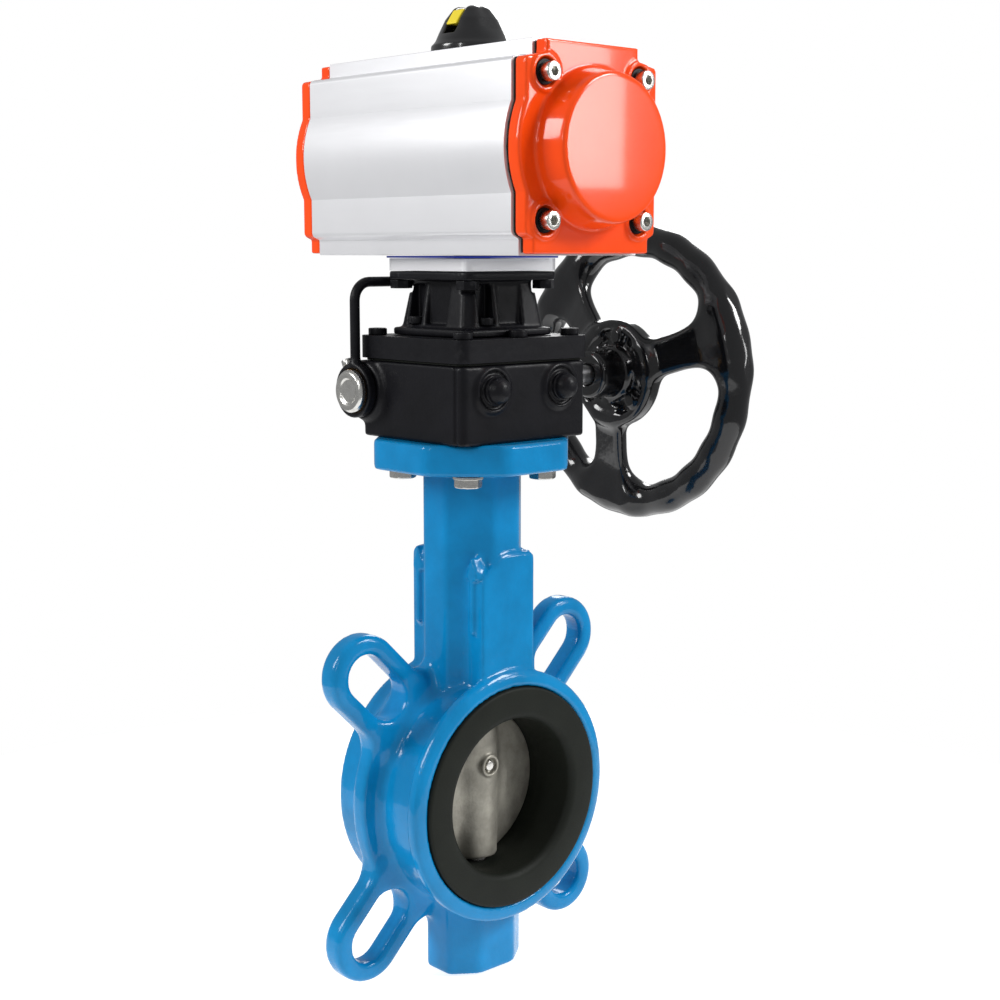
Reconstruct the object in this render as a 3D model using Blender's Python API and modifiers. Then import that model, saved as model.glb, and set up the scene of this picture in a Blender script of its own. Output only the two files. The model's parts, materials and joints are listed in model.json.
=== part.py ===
"""Pneumatic quarter-turn actuator with a declutchable worm gearbox on a wafer butterfly valve.

The origin is where the pipe axis crosses the stem axis. +X is the pipe axis and the axis of the
actuator's pistons, +Y points from the stem to the handwheel, and +Z runs up the stem.
Sizes below are in millimetres. Helper functions turn them into metres with MM.
"""
from math import atan2, ceil, cos, pi, radians, sin, sqrt, tan

import bmesh
import bpy
from mathutils import Matrix, Vector

MM = 0.001
GAP = 0.3                     # clearance between neighbouring pieces

# Valve body, DN 80 between pipe flanges
BORE_R = 39.5                 # inside the rubber seat
SEAT_FLANGE_R = 56.0
SEAT_TUBE_R = 50.0
SEAT_FACE_X = 32.0            # the seat stands proud of the body faces
SEAT_LIP = 6.0
BODY_FACE_X = 30.0
RIM_R = 64.0
BARREL_R = 60.0
RIM_WIDTH = 7.0
WEB_R = 70.0
WEB_X = (-11.0, -2.0)
EAR_X = (-13.0, 0.0)
EAR_SLOT_R = 11.0
EAR_SLOT = (77.0, 95.0)       # radii of the slot's two end centres
EAR_WALL = 9.5
NECK_HALF = (25.0, 25.5)
NECK_FLAT = (9.5, 7.5)        # half widths of the faces looking along Y and along X
CHEEK_X = (16.0, 27.0)
CHEEK_HALF_Y = 17.5
CHEEK_TOP = 123.0
BOSS_HALF = (18.2, 24.7)
BOSS_FLAT = (7.0, 13.8)
BOSS_BOTTOM = -95.0
FLANGE_TOP = 180.0
FLANGE_T = 15.0
FLANGE_R = 50.5
FLANGE_BOLT = 24.75           # bolt centres are at plus and minus this in X and in Y
BOLT_HEAD = 4.4

# Stem and disc
STEM_R = 7.0
STEM_BOTTOM = -83.0
STEM_SQUARE = 10.0
STEM_SQUARE_Z = (172.0, 198.0)
STEM_BORE_R = 10.3
DISC_R = 39.2
DISC_HUB_R = 12.0
DISC_HUB_HALF = 37.0
PIN_Z = 12.0
PIN_R = 2.5

# Worm gearbox
BOX_X = (-37.0, 39.0)
BOX_HALF_Y = 41.0
BOX_BOTTOM = FLANGE_TOP + GAP
BOX_TOP = 217.6
COVER_BOTTOM = 219.0
COVER_TOP = 230.0
WORM_Z = 203.0
WORM_X = -31.0
WORM_MODULE = 1.25
WORM_PITCH_R = 6.0
QUADRANT_TEETH = 40           # on a full circle, the quadrant carries a third of them
QUADRANT_ARC = (70.0, 200.0)
QUADRANT_FACE = 14.0
QUADRANT_TOOTH = 1.6          # thickness on the pitch line, thinned for backlash
ECCENTRICITY = 3.0
BUSH_X = WORM_X - ECCENTRICITY
BUSH_R = 10.5
BUSH_SPAN = (16.5, 50.5)
TUNNEL_R = 14.5
TUNNEL_END = 43.5
SHAFT_R = 5.5
SLEEVE_R = 12.0
SLEEVE_TOP = 252.0
SLEEVE_SQUARE = 14.0
STOP_BOLT_Y = 22.0
STOP_BOLT_Z = 206.0

# Declutch lever
LEVER_ROD_R = 2.5
LEVER_Y = 46.8
LEVER_TOP = 256.0
LEVER_BEND_R = 9.0

# Handwheel
RIM_CENTRE_R = 74.0
RIM_TUBE_R = 9.5
RIM_Y = 151.0
HUB_DISC_R = 30.0
HUB_DISC_Y = (131.0, 142.0)
HUB_Y = (112.0, 146.0)
HUB_R = 13.0
SPOKE_ANGLES = (18.0, 138.0, 258.0)

# Mounting spool and adapter plate between gearbox and actuator
SPOOL_BASE_T = 3.5
SPOOL_HALF = (27.0, 22.5)     # bottom and top of the tower
SPOOL_POCKETS = ((-18.0, -8.5, 19.0), (-5.0, 10.0, 22.6))   # along a face, and how deep
SPOOL_FLANGE = (257.0, 261.2)
PLATE_HALF = 30.0
ADAPTER_Z = (261.5, 267.4)
GASKET_Z = (267.7, 268.6)

# Actuator
ACT_Z = 316.4
ACT_HALF_H = 47.5
ACT_HALF_X = 74.0
CYLINDER_R = 37.8
PISTON_R = 37.4
PISTON_X = (28.0, 40.0)
RACK_END = -26.0
RACK_BACK = 24.0
PINION_MODULE = 1.5
PINION_TEETH = 16
PINION_TOOTH = 1.9            # thickness on the pitch line, thinned for backlash
RACK_ADDENDUM = 1.4
TOOTH_HALF_H = 12.0
PINION_FOOT_R = 14.5
PINION_TOP_R = 10.5
CAP_SCREW_Y = 30.0
CAP_SCREW_Z = 32.0
CAP_GASKET_X = (74.3, 75.1)
CAP_X = (75.4, 82.6, 97.5)    # flange back, flange front, dome front
CAP_DOME_R = (36.3, 33.2)
PORT_X = 12.0
PORT_PAD_Y = 49.0
TRAVEL_STOP_Z = -20.0
TRAVEL_STOP_X = 12.0
PAD_HOLES = (40.0, 15.0)

PALETTE = {
    "blue_paint": ((0.01, 0.19, 0.58), 0.25, 0.0),
    "black_rubber": ((0.012, 0.013, 0.012), 0.6, 0.0),
    "stainless": ((0.52, 0.50, 0.46), 0.35, 1.0),
    "cast_stainless": ((0.42, 0.40, 0.34), 0.45, 0.9),
    "bronze": ((0.48, 0.30, 0.12), 0.4, 1.0),
    "ptfe": ((0.75, 0.75, 0.72), 0.5, 0.0),
    "black_paint": ((0.012, 0.012, 0.015), 0.42, 0.0),
    "gloss_black": ((0.008, 0.008, 0.009), 0.2, 0.0),
    "steel": ((0.35, 0.35, 0.36), 0.4, 1.0),
    "anodised": ((0.62, 0.62, 0.66), 0.32, 0.8),
    "blue_gasket": ((0.02, 0.05, 0.4), 0.5, 0.0),
    "orange_paint": ((0.93, 0.09, 0.02), 0.22, 0.0),
    "die_cast": ((0.55, 0.55, 0.55), 0.4, 1.0),
    "yellow_plastic": ((0.85, 0.65, 0.03), 0.4, 0.0),
}


# ---------------------------------------------------------------- scene helpers

def clear_scene():
    for item in list(bpy.data.objects):
        bpy.data.objects.remove(item, do_unlink=True)


def new_collection(name):
    collection = bpy.data.collections.new(name)
    bpy.context.scene.collection.children.link(collection)
    return collection


def make_material(name):
    colour, roughness, metallic = PALETTE[name]
    material = bpy.data.materials.new(name)
    material.use_nodes = True
    shader = material.node_tree.nodes["Principled BSDF"]
    shader.inputs["Base Color"].default_value = (*colour, 1.0)
    shader.inputs["Roughness"].default_value = roughness
    shader.inputs["Metallic"].default_value = metallic
    return material


def guide(name, data):
    """A helper object: it cuts or joins, and it is not a piece of the assembly."""
    item = bpy.data.objects.new(name, data)
    CUTTERS.objects.link(item)
    item.hide_render = True
    item.display_type = "WIRE"
    return item


def node(item, name, material, parent=None):
    """Turn a helper object into a named piece."""
    CUTTERS.objects.unlink(item)
    PARTS.objects.link(item)
    item.name = name
    item.hide_render = False
    item.display_type = "TEXTURED"
    item.data.materials.clear()
    item.data.materials.append(MATERIALS[material])
    item.data.shade_smooth()
    item.data.set_sharp_from_angle(angle=radians(30))
    if parent:
        item.parent = parent
        item.matrix_parent_inverse = Matrix.Translation(parent.location).inverted()
    return item


def pivot(name, place):
    """An empty on a joint's axis."""
    empty = bpy.data.objects.new(name, None)
    PARTS.objects.link(empty)
    empty.location = Vector(place) * MM
    return empty


def boolean(target, tools, operation):
    for tool in tools:
        modifier = target.modifiers.new(operation.lower(), "BOOLEAN")
        modifier.operation = operation
        modifier.object = tool
    return target


def join(target, *tools):
    return boolean(target, tools, "UNION")


def cut(target, *tools):
    return boolean(target, tools, "DIFFERENCE")


def use_manifold_solver(item):
    """For a shape whose many coplanar faces the exact solver leaves open."""
    for modifier in item.modifiers:
        if modifier.type == "BOOLEAN":
            modifier.solver = "MANIFOLD"


def evaluated_mesh(item):
    bpy.context.view_layer.update()
    view = item.evaluated_get(bpy.context.evaluated_depsgraph_get())
    mesh = bpy.data.meshes.new_from_object(view)
    mesh.transform(item.matrix_world)
    return mesh


def copies(item, name, material, moves):
    """Separate pieces of one shape, which share its mesh, one for each move."""
    mesh = evaluated_mesh(item)
    bpy.data.objects.remove(item)
    for number, move in enumerate(moves, 1):
        piece = node(guide(name, mesh), f"{name}_{number}", material)
        piece.matrix_world = move


def shift(x=0.0, y=0.0, z=0.0):
    return Matrix.Translation(Vector((x, y, z)) * MM)


# ---------------------------------------------------------------- shape helpers

AXES = {
    "X": Matrix(((0, 0, 1, 0), (1, 0, 0, 0), (0, 1, 0, 0), (0, 0, 0, 1))),
    "Y": Matrix(((0, 1, 0, 0), (0, 0, 1, 0), (1, 0, 0, 0), (0, 0, 0, 1))),
    "Z": Matrix.Identity(4),
}


def finish_mesh(name, bm):
    bmesh.ops.recalc_face_normals(bm, faces=bm.faces)
    mesh = bpy.data.meshes.new(name)
    bm.to_mesh(mesh)
    bm.free()
    return guide(name, mesh)


def block(x, y, z):
    """A box between two X, two Y and two Z values."""
    bm = bmesh.new()
    bmesh.ops.create_cube(bm, size=1.0)
    size = Vector((x[1] - x[0], y[1] - y[0], z[1] - z[0])) * MM
    centre = Vector((x[0] + x[1], y[0] + y[1], z[0] + z[1])) * MM / 2
    bmesh.ops.scale(bm, vec=size, verts=bm.verts)
    bmesh.ops.translate(bm, vec=centre, verts=bm.verts)
    return finish_mesh("block", bm)


def cylinder(axis, centre, span, radius, end_radius=None, sides=24):
    """A cylinder or cone along X, Y or Z. The centre gives its place across that axis."""
    top_radius = radius if end_radius is None else end_radius
    bm = bmesh.new()
    bmesh.ops.create_cone(bm, cap_ends=True, segments=sides, radius1=radius * MM,
                          radius2=top_radius * MM, depth=(span[1] - span[0]) * MM)
    place = Vector(centre)
    place["XYZ".index(axis)] = (span[0] + span[1]) / 2
    bmesh.ops.transform(bm, matrix=Matrix.Translation(place * MM) @ AXES[axis], verts=bm.verts)
    return finish_mesh("cylinder", bm)


def turned(axis, centre, profile, sides=32, closed=False):
    """A profile of (radius, place along the axis) turned by a Screw modifier."""
    points = [Vector((radius, 0, along)) * MM for radius, along in profile]
    edges = [(i, i + 1) for i in range(len(points) - 1)]
    if closed:
        edges.append((len(points) - 1, 0))
    mesh = bpy.data.meshes.new("profile")
    mesh.from_pydata(points, edges, [])
    item = guide("profile", mesh)
    screw = item.modifiers.new("turn", "SCREW")
    screw.steps = sides
    screw.render_steps = sides
    screw.use_merge_vertices = True
    screw.merge_threshold = 0.00001
    bm = bmesh.new()
    bm.from_mesh(evaluated_mesh(item))
    bpy.data.objects.remove(item)
    bmesh.ops.transform(bm, matrix=Matrix.Translation(Vector(centre) * MM) @ AXES[axis],
                        verts=bm.verts)
    return finish_mesh("turned", bm)


def ring(axis, centre, span, outer, inner, sides=24):
    """A plain sleeve."""
    profile = [(outer, span[1]), (outer, span[0]), (inner, span[0]), (inner, span[1])]
    return turned(axis, centre, profile, sides, closed=True)


def torus(axis, centre, radius, thickness, sides=24, section=6):
    profile = []
    for i in range(section):
        angle = -2 * pi * i / section
        profile.append((radius + thickness * cos(angle), thickness * sin(angle)))
    return turned(axis, centre, profile, sides, closed=True)


def extruded(axis, span, *outlines):
    """Flat outlines, the later ones being holes, given a thickness along an axis.

    Along X an outline holds (Y, Z), along Y it holds (Z, X) and along Z it holds (X, Y).
    """
    curve = bpy.data.curves.new("outline", "CURVE")
    curve.dimensions = "2D"
    curve.fill_mode = "BOTH"
    curve.extrude = (span[1] - span[0]) * MM / 2
    for outline in outlines:
        spline = curve.splines.new("POLY")
        spline.points.add(len(outline) - 1)
        spline.use_cyclic_u = True
        for point, (u, v) in zip(spline.points, outline):
            point.co = (u * MM, v * MM, 0, 1)
    item = guide("outline", curve)
    bm = bmesh.new()
    bm.from_mesh(evaluated_mesh(item))
    bpy.data.objects.remove(item)
    bmesh.ops.remove_doubles(bm, verts=bm.verts, dist=0.000001)
    along = Vector((0, 0, (span[0] + span[1]) * MM / 2))
    bmesh.ops.transform(bm, matrix=AXES[axis] @ Matrix.Translation(along), verts=bm.verts)
    return finish_mesh("extruded", bm)


def rod(points, radius, resolution=2):
    """A round bar along a list of points."""
    curve = bpy.data.curves.new("rod", "CURVE")
    curve.dimensions = "3D"
    curve.bevel_depth = radius * MM
    curve.bevel_resolution = resolution
    curve.use_fill_caps = True
    spline = curve.splines.new("POLY")
    spline.points.add(len(points) - 1)
    for point, place in zip(spline.points, points):
        point.co = (*(Vector(place) * MM), 1)
    item = guide("rod", curve)
    bm = bmesh.new()
    bm.from_mesh(evaluated_mesh(item))
    bpy.data.objects.remove(item)
    bmesh.ops.remove_doubles(bm, verts=bm.verts, dist=0.000001)
    return finish_mesh("rod", bm)


def arc(centre, radius, start, end, steps):
    """Points on an arc, angles in degrees."""
    points = []
    for i in range(steps + 1):
        angle = radians(start + (end - start) * i / steps)
        points.append((centre[0] + radius * cos(angle), centre[1] + radius * sin(angle)))
    return points


def rounded_box(u, v, radius, steps=3):
    corners = ((u[1], v[1], 0), (u[0], v[1], 90), (u[0], v[0], 180), (u[1], v[0], 270))
    points = []
    for x, y, start in corners:
        centre = (x - radius if x == u[1] else x + radius, y - radius if y == v[1] else y + radius)
        points += arc(centre, radius, start, start + 90, steps)
    return points


def octagon(half, flat):
    """Half sizes in X and Y, and the half widths of the faces that look along Y and X."""
    corners = [(half[0], -flat[1]), (half[0], flat[1]), (flat[0], half[1]), (-flat[0], half[1])]
    return corners + [(-x, -y) for x, y in corners]


def four(x, y):
    return [(sx * x, sy * y) for sx in (-1, 1) for sy in (-1, 1)]


def hexagon_cutter(axis, centre, span, across_flats):
    return cylinder(axis, centre, span, across_flats / sqrt(3), sides=6)


def socket_screw(length, radius, head_r, head_h, sides=10):
    """A cap screw down -Z from the underside of its head at the origin."""
    profile = [(0, head_h), (head_r, head_h), (head_r, 0), (radius, 0), (radius, -length),
               (0, -length)]
    screw = turned("Z", (0, 0, 0), profile, sides)
    return cut(screw, hexagon_cutter("Z", (0, 0, 0), (head_h * 0.4, head_h + 1), head_r))


def hex_bolt(length, radius, across_flats, head_h, sides=12):
    """A hexagon bolt up +Z from the top of its head at the origin."""
    head = hexagon_cutter("Z", (0, 0, 0), (-head_h, 0), across_flats)
    return join(head, cylinder("Z", (0, 0, 0), (-head_h / 2, length), radius, sides=sides))


# ---------------------------------------------------------------- gear teeth

def tooth_half_angle(radius, pitch_r, thickness, pressure=radians(20)):
    """Half the angle that an involute tooth fills at a radius."""
    base = pitch_r * cos(pressure)
    at = sqrt(max(radius * radius - base * base, 0.0)) / base
    roll = at - atan2(at, 1)
    pitch_roll = tan(pressure) - pressure
    return thickness / 2 / pitch_r + pitch_roll - roll


def gear_outline(teeth, module, root_r, thickness, first=0.0, wanted=None):
    """Outline of a gear, or of the wanted teeth of it. One tooth is centred on the first angle."""
    pitch_r = teeth * module / 2
    radii = [root_r] + [pitch_r + module * height for height in (-0.5, 0.25, 1.0)]
    points = []
    for k in wanted or range(teeth):
        centre = radians(first) + 2 * pi * k / teeth
        flank = [(r, tooth_half_angle(max(r, pitch_r * 0.94), pitch_r, thickness)) for r in radii]
        for r, half in flank:
            points.append((r * cos(centre - half), r * sin(centre - half)))
        for r, half in reversed(flank):
            points.append((r * cos(centre + half), r * sin(centre + half)))
    return points


def rack_outline(span, pitch_line, module, addendum, dedendum, thickness, back):
    """A rack between two X values. Its gap is centred at X = 0 and its teeth look at the pinion."""
    pitch = pi * module
    slope = tan(radians(20))
    tip_half = thickness / 2 - addendum * slope
    root_half = thickness / 2 + dedendum * slope
    points = [(span[0], back)]
    points.append((span[0], pitch_line + dedendum))
    k = ceil((span[0] + root_half) / pitch - 0.5)
    while (k + 0.5) * pitch + root_half < span[1]:
        middle = (k + 0.5) * pitch
        points.append((middle - root_half, pitch_line + dedendum))
        points.append((middle - tip_half, pitch_line - addendum))
        points.append((middle + tip_half, pitch_line - addendum))
        points.append((middle + root_half, pitch_line + dedendum))
        k += 1
    points.append((span[1], pitch_line + dedendum))
    points.append((span[1], back))
    return points


# ---------------------------------------------------------------- valve

def make_valve_body():
    lip = SEAT_FACE_X - SEAT_LIP - GAP
    ring_outer = [(RIM_R, BODY_FACE_X), (RIM_R, BODY_FACE_X - RIM_WIDTH),
                  (BARREL_R, BODY_FACE_X - RIM_WIDTH - 3), (BARREL_R, WEB_X[1] - 3),
                  (RIM_R, WEB_X[1] - 4), (RIM_R, -BODY_FACE_X), (0, -BODY_FACE_X)]
    body = turned("X", (0, 0, 0), [(0, BODY_FACE_X)] + ring_outer, 36)
    join(body, cylinder("X", (0, 0, 0), WEB_X, WEB_R, sides=36))
    outer_r = EAR_SLOT_R + EAR_WALL
    for angle in (45, 135, 225, 315):
        ear = arc((EAR_SLOT[1], 0), outer_r, -90, 90, 7) + [(50, outer_r), (50, -outer_r)]
        slot = arc((EAR_SLOT[1], 0), EAR_SLOT_R, -90, 90, 5)
        slot += arc((EAR_SLOT[0], 0), EAR_SLOT_R, 90, 270, 5)
        c, s = cos(radians(angle)), sin(radians(angle))
        spun = [[(u * c - v * s, u * s + v * c) for u, v in line] for line in (ear, slot)]
        join(body, extruded("X", EAR_X, *spun))
    join(body, extruded("Z", (40, FLANGE_TOP - 4), octagon(NECK_HALF, NECK_FLAT)))
    for side in (-1, 1):
        x = sorted((side * CHEEK_X[0], side * CHEEK_X[1]))
        cheek = rounded_box((-CHEEK_HALF_Y, CHEEK_HALF_Y), (40, CHEEK_TOP), 5, 2)
        join(body, extruded("X", x, cheek))
    join(body, cylinder("Z", (0, 0, 0), (FLANGE_TOP - FLANGE_T, FLANGE_TOP), FLANGE_R, sides=36))
    join(body, extruded("Z", (BOSS_BOTTOM, -45), octagon(BOSS_HALF, BOSS_FLAT)))
    far = SEAT_FACE_X + 10
    seat_space = [(SEAT_FLANGE_R + GAP, far), (SEAT_FLANGE_R + GAP, lip), (SEAT_TUBE_R + GAP, lip),
                  (SEAT_TUBE_R + GAP, -lip), (SEAT_FLANGE_R + GAP, -lip),
                  (SEAT_FLANGE_R + GAP, -far)]
    cut(body, turned("X", (0, 0, 0), [(0, far)] + seat_space + [(0, -far)], 36))
    cut(body, cylinder("Z", (0, 0, 0), (STEM_BOTTOM - 3, FLANGE_TOP + 5), STEM_BORE_R, sides=20))
    for x, y in four(FLANGE_BOLT, FLANGE_BOLT):
        cut(body, cylinder("Z", (x, y, 0), (FLANGE_TOP - 30, FLANGE_TOP + 5), 4.4, sides=8))
    use_manifold_solver(body)
    node(body, "valve_body", "blue_paint")


def make_seat_liner():
    lip = SEAT_FACE_X - SEAT_LIP
    edge = 2.0
    profile = [(SEAT_FLANGE_R, SEAT_FACE_X), (SEAT_FLANGE_R, lip), (SEAT_TUBE_R, lip),
               (SEAT_TUBE_R, -lip), (SEAT_FLANGE_R, -lip), (SEAT_FLANGE_R, -SEAT_FACE_X),
               (BORE_R + edge, -SEAT_FACE_X), (BORE_R, edge - SEAT_FACE_X),
               (BORE_R, SEAT_FACE_X - edge), (BORE_R + edge, SEAT_FACE_X)]
    liner = turned("X", (0, 0, 0), profile, 36, closed=True)
    cut(liner, cylinder("Z", (0, 0, 0), (-70, 70), STEM_R + GAP, sides=20))
    return node(liner, "seat_liner", "black_rubber")


def make_disc_and_stem():
    half = [(0, 4.5), (DISC_R - 4, 2.6), (DISC_R, 1.4)]
    plate = turned("X", (0, 0, 0), half + [(r, -x) for r, x in reversed(half)], 36)
    join(plate, cylinder("Z", (0, 0, 0), (-DISC_HUB_HALF, DISC_HUB_HALF), DISC_HUB_R, sides=24))
    join(plate, cylinder("X", (0, 0, PIN_Z), (-14, 14), 5.5, sides=12))
    cut(plate, cylinder("Z", (0, 0, 0), (-50, 50), STEM_R + GAP, sides=20))
    cut(plate, cylinder("X", (0, 0, PIN_Z), (-20, 20), PIN_R + GAP, sides=12))
    node(plate, "valve_disc", "cast_stainless", DRIVE)
    stem = cylinder("Z", (0, 0, 0), (STEM_BOTTOM, STEM_SQUARE_Z[0]), STEM_R, sides=20)
    half_square = STEM_SQUARE / 2
    square = rounded_box((-half_square, half_square), (-half_square, half_square), 1, 1)
    join(stem, extruded("Z", (STEM_SQUARE_Z[0] - 1, STEM_SQUARE_Z[1]), square))
    cut(stem, cylinder("X", (0, 0, PIN_Z), (-20, 20), PIN_R + GAP, sides=12))
    node(stem, "valve_stem", "stainless", DRIVE)
    node(cylinder("X", (0, 0, PIN_Z), (-13, 13), PIN_R, sides=12), "disc_pin", "stainless", DRIVE)


def make_stem_bearings():
    outer = STEM_BORE_R - GAP
    inner = STEM_R + GAP
    node(ring("Z", (0, 0, 0), (52, 140), outer, inner, 20), "stem_bush_upper", "ptfe")
    node(ring("Z", (0, 0, 0), (STEM_BOTTOM, -52), outer, inner, 20), "stem_bush_lower", "ptfe")
    middle = (outer + inner) / 2
    o_ring = torus("Z", (0, 0, 146), middle, (outer - inner) / 2, 20, 5)
    node(o_ring, "stem_o_ring", "black_rubber")
    node(ring("Z", (0, 0, 0), (153, 163), outer, inner, 20), "stem_gland_ring", "bronze")


def make_flange_bolts():
    head_z = FLANGE_TOP - FLANGE_T - 2.2
    moves = [shift(x, y, head_z) for x, y in four(FLANGE_BOLT, FLANGE_BOLT)]
    copies(hex_bolt(FLANGE_T + 10.5, 4, 12, BOLT_HEAD), "valve_flange_bolt", "stainless", moves)


# ---------------------------------------------------------------- gearbox

def make_housing():
    low, high = BOX_X
    outline = rounded_box(BOX_X, (-BOX_HALF_Y, BOX_HALF_Y), 4, 2)
    box = extruded("Z", (BOX_BOTTOM, BOX_TOP), outline)
    across = (BUSH_X, 0, WORM_Z)
    join(box, cylinder("Y", across, (-TUNNEL_END, TUNNEL_END), TUNNEL_R, sides=24))
    for y in (-STOP_BOLT_Y, STOP_BOLT_Y):
        join(box, cylinder("X", (0, y, STOP_BOLT_Z), (high - 2, high + 2), 11, 10, sides=16))
    cut(box, cylinder("Z", (0, 0, 0), (190, BOX_TOP + 5), 27.6, sides=28))
    cut(box, cylinder("Y", across, (-60, 60), BUSH_R + GAP, sides=24))
    cut(box, cylinder("Z", (0, 0, 0), (BOX_BOTTOM - 5, 195), 15.3, sides=24))
    for y in (-STOP_BOLT_Y, STOP_BOLT_Y):
        cut(box, cylinder("X", (0, y, STOP_BOLT_Z), (8, high + 5), 4.5, sides=10))
    for x, y in four(FLANGE_BOLT, FLANGE_BOLT):
        cut(box, cylinder("Z", (x, y, 0), (BOX_BOTTOM - 5, 189.6), 4.4, sides=10))
    for x, y in COVER_SCREWS:
        cut(box, cylinder("Z", (x, y, 0), (214.4, BOX_TOP + 5), 2.8, sides=8))
    return node(box, "gearbox_housing", "black_paint")


COVER_SCREWS = [(-31, -35), (-31, 35), (33, -35), (33, 35), (33, 0)]


def make_cover():
    low, high = BOX_X
    edge = 1.0
    outline = rounded_box((low - edge, high + edge), (-BOX_HALF_Y - edge, BOX_HALF_Y + edge), 5, 2)
    cover = extruded("Z", (COVER_BOTTOM, COVER_TOP), outline)
    cut(cover, cylinder("Z", (0, 0, 0), (COVER_BOTTOM - 5, COVER_TOP + 5), 15.3, sides=24))
    for x, y in COVER_SCREWS:
        cut(cover, cylinder("Z", (x, y, 0), (COVER_BOTTOM - 5, COVER_TOP + 5), 2.8, sides=8))
    for x, y in SPOOL_SCREWS:
        cut(cover, cylinder("Z", (x, y, 0), (COVER_TOP - 8, COVER_TOP + 5), 2.8, sides=8))
    node(cover, "gearbox_cover", "black_paint")
    seal = [arc((0, 0), 28.2, 0, -345, 23)]
    for x, y in COVER_SCREWS:
        seal.append(arc((x, y), 3.2, 0, -300, 5))
    outline = rounded_box((low + 1, high - 1), (-BOX_HALF_Y + 1, BOX_HALF_Y - 1), 4, 2)
    node(extruded("Z", (BOX_TOP + GAP, COVER_BOTTOM - GAP), outline, *seal), "cover_gasket",
         "black_rubber")


def make_stop_bolts():
    high = BOX_X[1]
    profile = [(0, 49), (3, 48.4), (5.5, 46.5), (7, 43), (7, high + 2 + GAP), (4, high + 2 + GAP),
               (4, 9.8), (0, 9.8)]
    moves = [shift(y=y, z=STOP_BOLT_Z) for y in (-STOP_BOLT_Y, STOP_BOLT_Y)]
    copies(turned("X", (0, 0, 0), profile, 12), "stop_bolt", "black_paint", moves)


def make_drive_sleeve():
    half_in = (STEM_SQUARE + 0.7) / 2
    half_out = SLEEVE_SQUARE / 2
    sleeve = cylinder("Z", (0, 0, 0), (181.5, SLEEVE_TOP), SLEEVE_R, sides=24)
    male = rounded_box((-half_out, half_out), (-half_out, half_out), 1.5, 1)
    join(sleeve, extruded("Z", (SLEEVE_TOP - 2, 284), male))
    socket = rounded_box((-half_in, half_in), (-half_in, half_in), 0.8, 1)
    cut(sleeve, extruded("Z", (175, STEM_SQUARE_Z[1] + 1), socket))
    cut(sleeve, block((9.2, 20), (-2.8, 2.8), (194.7, 211.3)))
    node(sleeve, "drive_sleeve", "steel", DRIVE)
    node(block((9.5, 14.5), (-2.5, 2.5), (195, 211)), "quadrant_key", "steel", DRIVE)
    outer = 15.0
    inner = SLEEVE_R + GAP
    node(ring("Z", (0, 0, 0), (181, 189.5), outer, inner), "sleeve_bush_lower", "bronze")
    node(ring("Z", (0, 0, 0), (219.5, 229.5), outer, inner), "sleeve_bush_upper", "bronze")


def make_quadrant():
    pitch_r = QUADRANT_TEETH * WORM_MODULE / 2
    root_r = pitch_r - 1.45
    step = 360 / QUADRANT_TEETH
    wanted = [k for k in range(-30, 30)
              if QUADRANT_ARC[0] < 180 + (k - 0.6) * step and 180 + (k + 0.6) * step < QUADRANT_ARC[1]]
    teeth = gear_outline(QUADRANT_TEETH, WORM_MODULE, root_r, QUADRANT_TOOTH, 180, wanted)
    start, end = (radians(angle) for angle in QUADRANT_ARC)
    outline = [(0, 0), (root_r * cos(start), root_r * sin(start))] + teeth
    outline.append((root_r * cos(end), root_r * sin(end)))
    half = QUADRANT_FACE / 2
    sector = extruded("Z", (WORM_Z - half, WORM_Z + half), outline)
    lead_angle = atan2(WORM_MODULE / 2, WORM_PITCH_R)
    for vertex in sector.data.vertices:
        height = vertex.co.z - WORM_Z * MM
        twist = height * tan(lead_angle) / (pitch_r * MM)
        vertex.co = Matrix.Rotation(twist, 4, "Z") @ vertex.co
    join(sector, cylinder("Z", (0, 0, 0), (191, 215), 17, sides=24))
    cut(sector, cylinder("Z", (0, 0, 0), (180, 230), SLEEVE_R + GAP, sides=24))
    cut(sector, block((9.2, 14.8), (-2.8, 2.8), (180, 230)))
    node(sector, "worm_quadrant", "bronze", DRIVE)


def worm_radius(angle, along):
    """Radius of the worm's surface: thread between its ends and plain shaft beyond."""
    lead = pi * WORM_MODULE
    root = WORM_PITCH_R - 1.5
    tip = WORM_PITCH_R + WORM_MODULE
    flank = (tip - root) * tan(radians(20))
    tip_half = 0.8 - WORM_MODULE * tan(radians(20))
    phase = (along / lead - angle / (2 * pi)) % 1.0
    away = abs(phase - 0.5) * lead
    return tip if away < tip_half else max(root, tip - (away - tip_half) / flank * (tip - root))


def make_worm_shaft():
    """Thread and journals are one surface whose radius follows the right-hand thread."""
    sides = 14
    thread_end = 13.35
    rows = 34
    stations = [(-BUSH_SPAN[1] + 0.5, None), (-thread_end - 0.2, None)]
    stations += [(-thread_end + 2 * thread_end * i / rows, True) for i in range(rows + 1)]
    stations += [(thread_end + 0.2, None), (HUB_Y[1] + GAP, None)]
    bm = bmesh.new()
    rings = []
    for along, threaded in stations:
        row = []
        for k in range(sides):
            angle = 2 * pi * k / sides
            radius = worm_radius(angle - pi / 2, along) if threaded else SHAFT_R
            place = (WORM_X + radius * sin(angle), along, WORM_Z + radius * cos(angle))
            row.append(bm.verts.new(Vector(place) * MM))
        rings.append(row)
    for row, after in zip(rings, rings[1:]):
        for k in range(sides):
            n = (k + 1) % sides
            bm.faces.new((row[k], row[n], after[n], after[k]))
    bm.faces.new(rings[0])
    bm.faces.new(rings[-1])
    shaft = finish_mesh("worm", bm)
    across = (WORM_X, 0, WORM_Z)
    join(shaft, cylinder("Y", across, (HUB_Y[1] - 2, 156), 4, sides=12))
    node(shaft, "worm_shaft", "steel", WORM)


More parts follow.
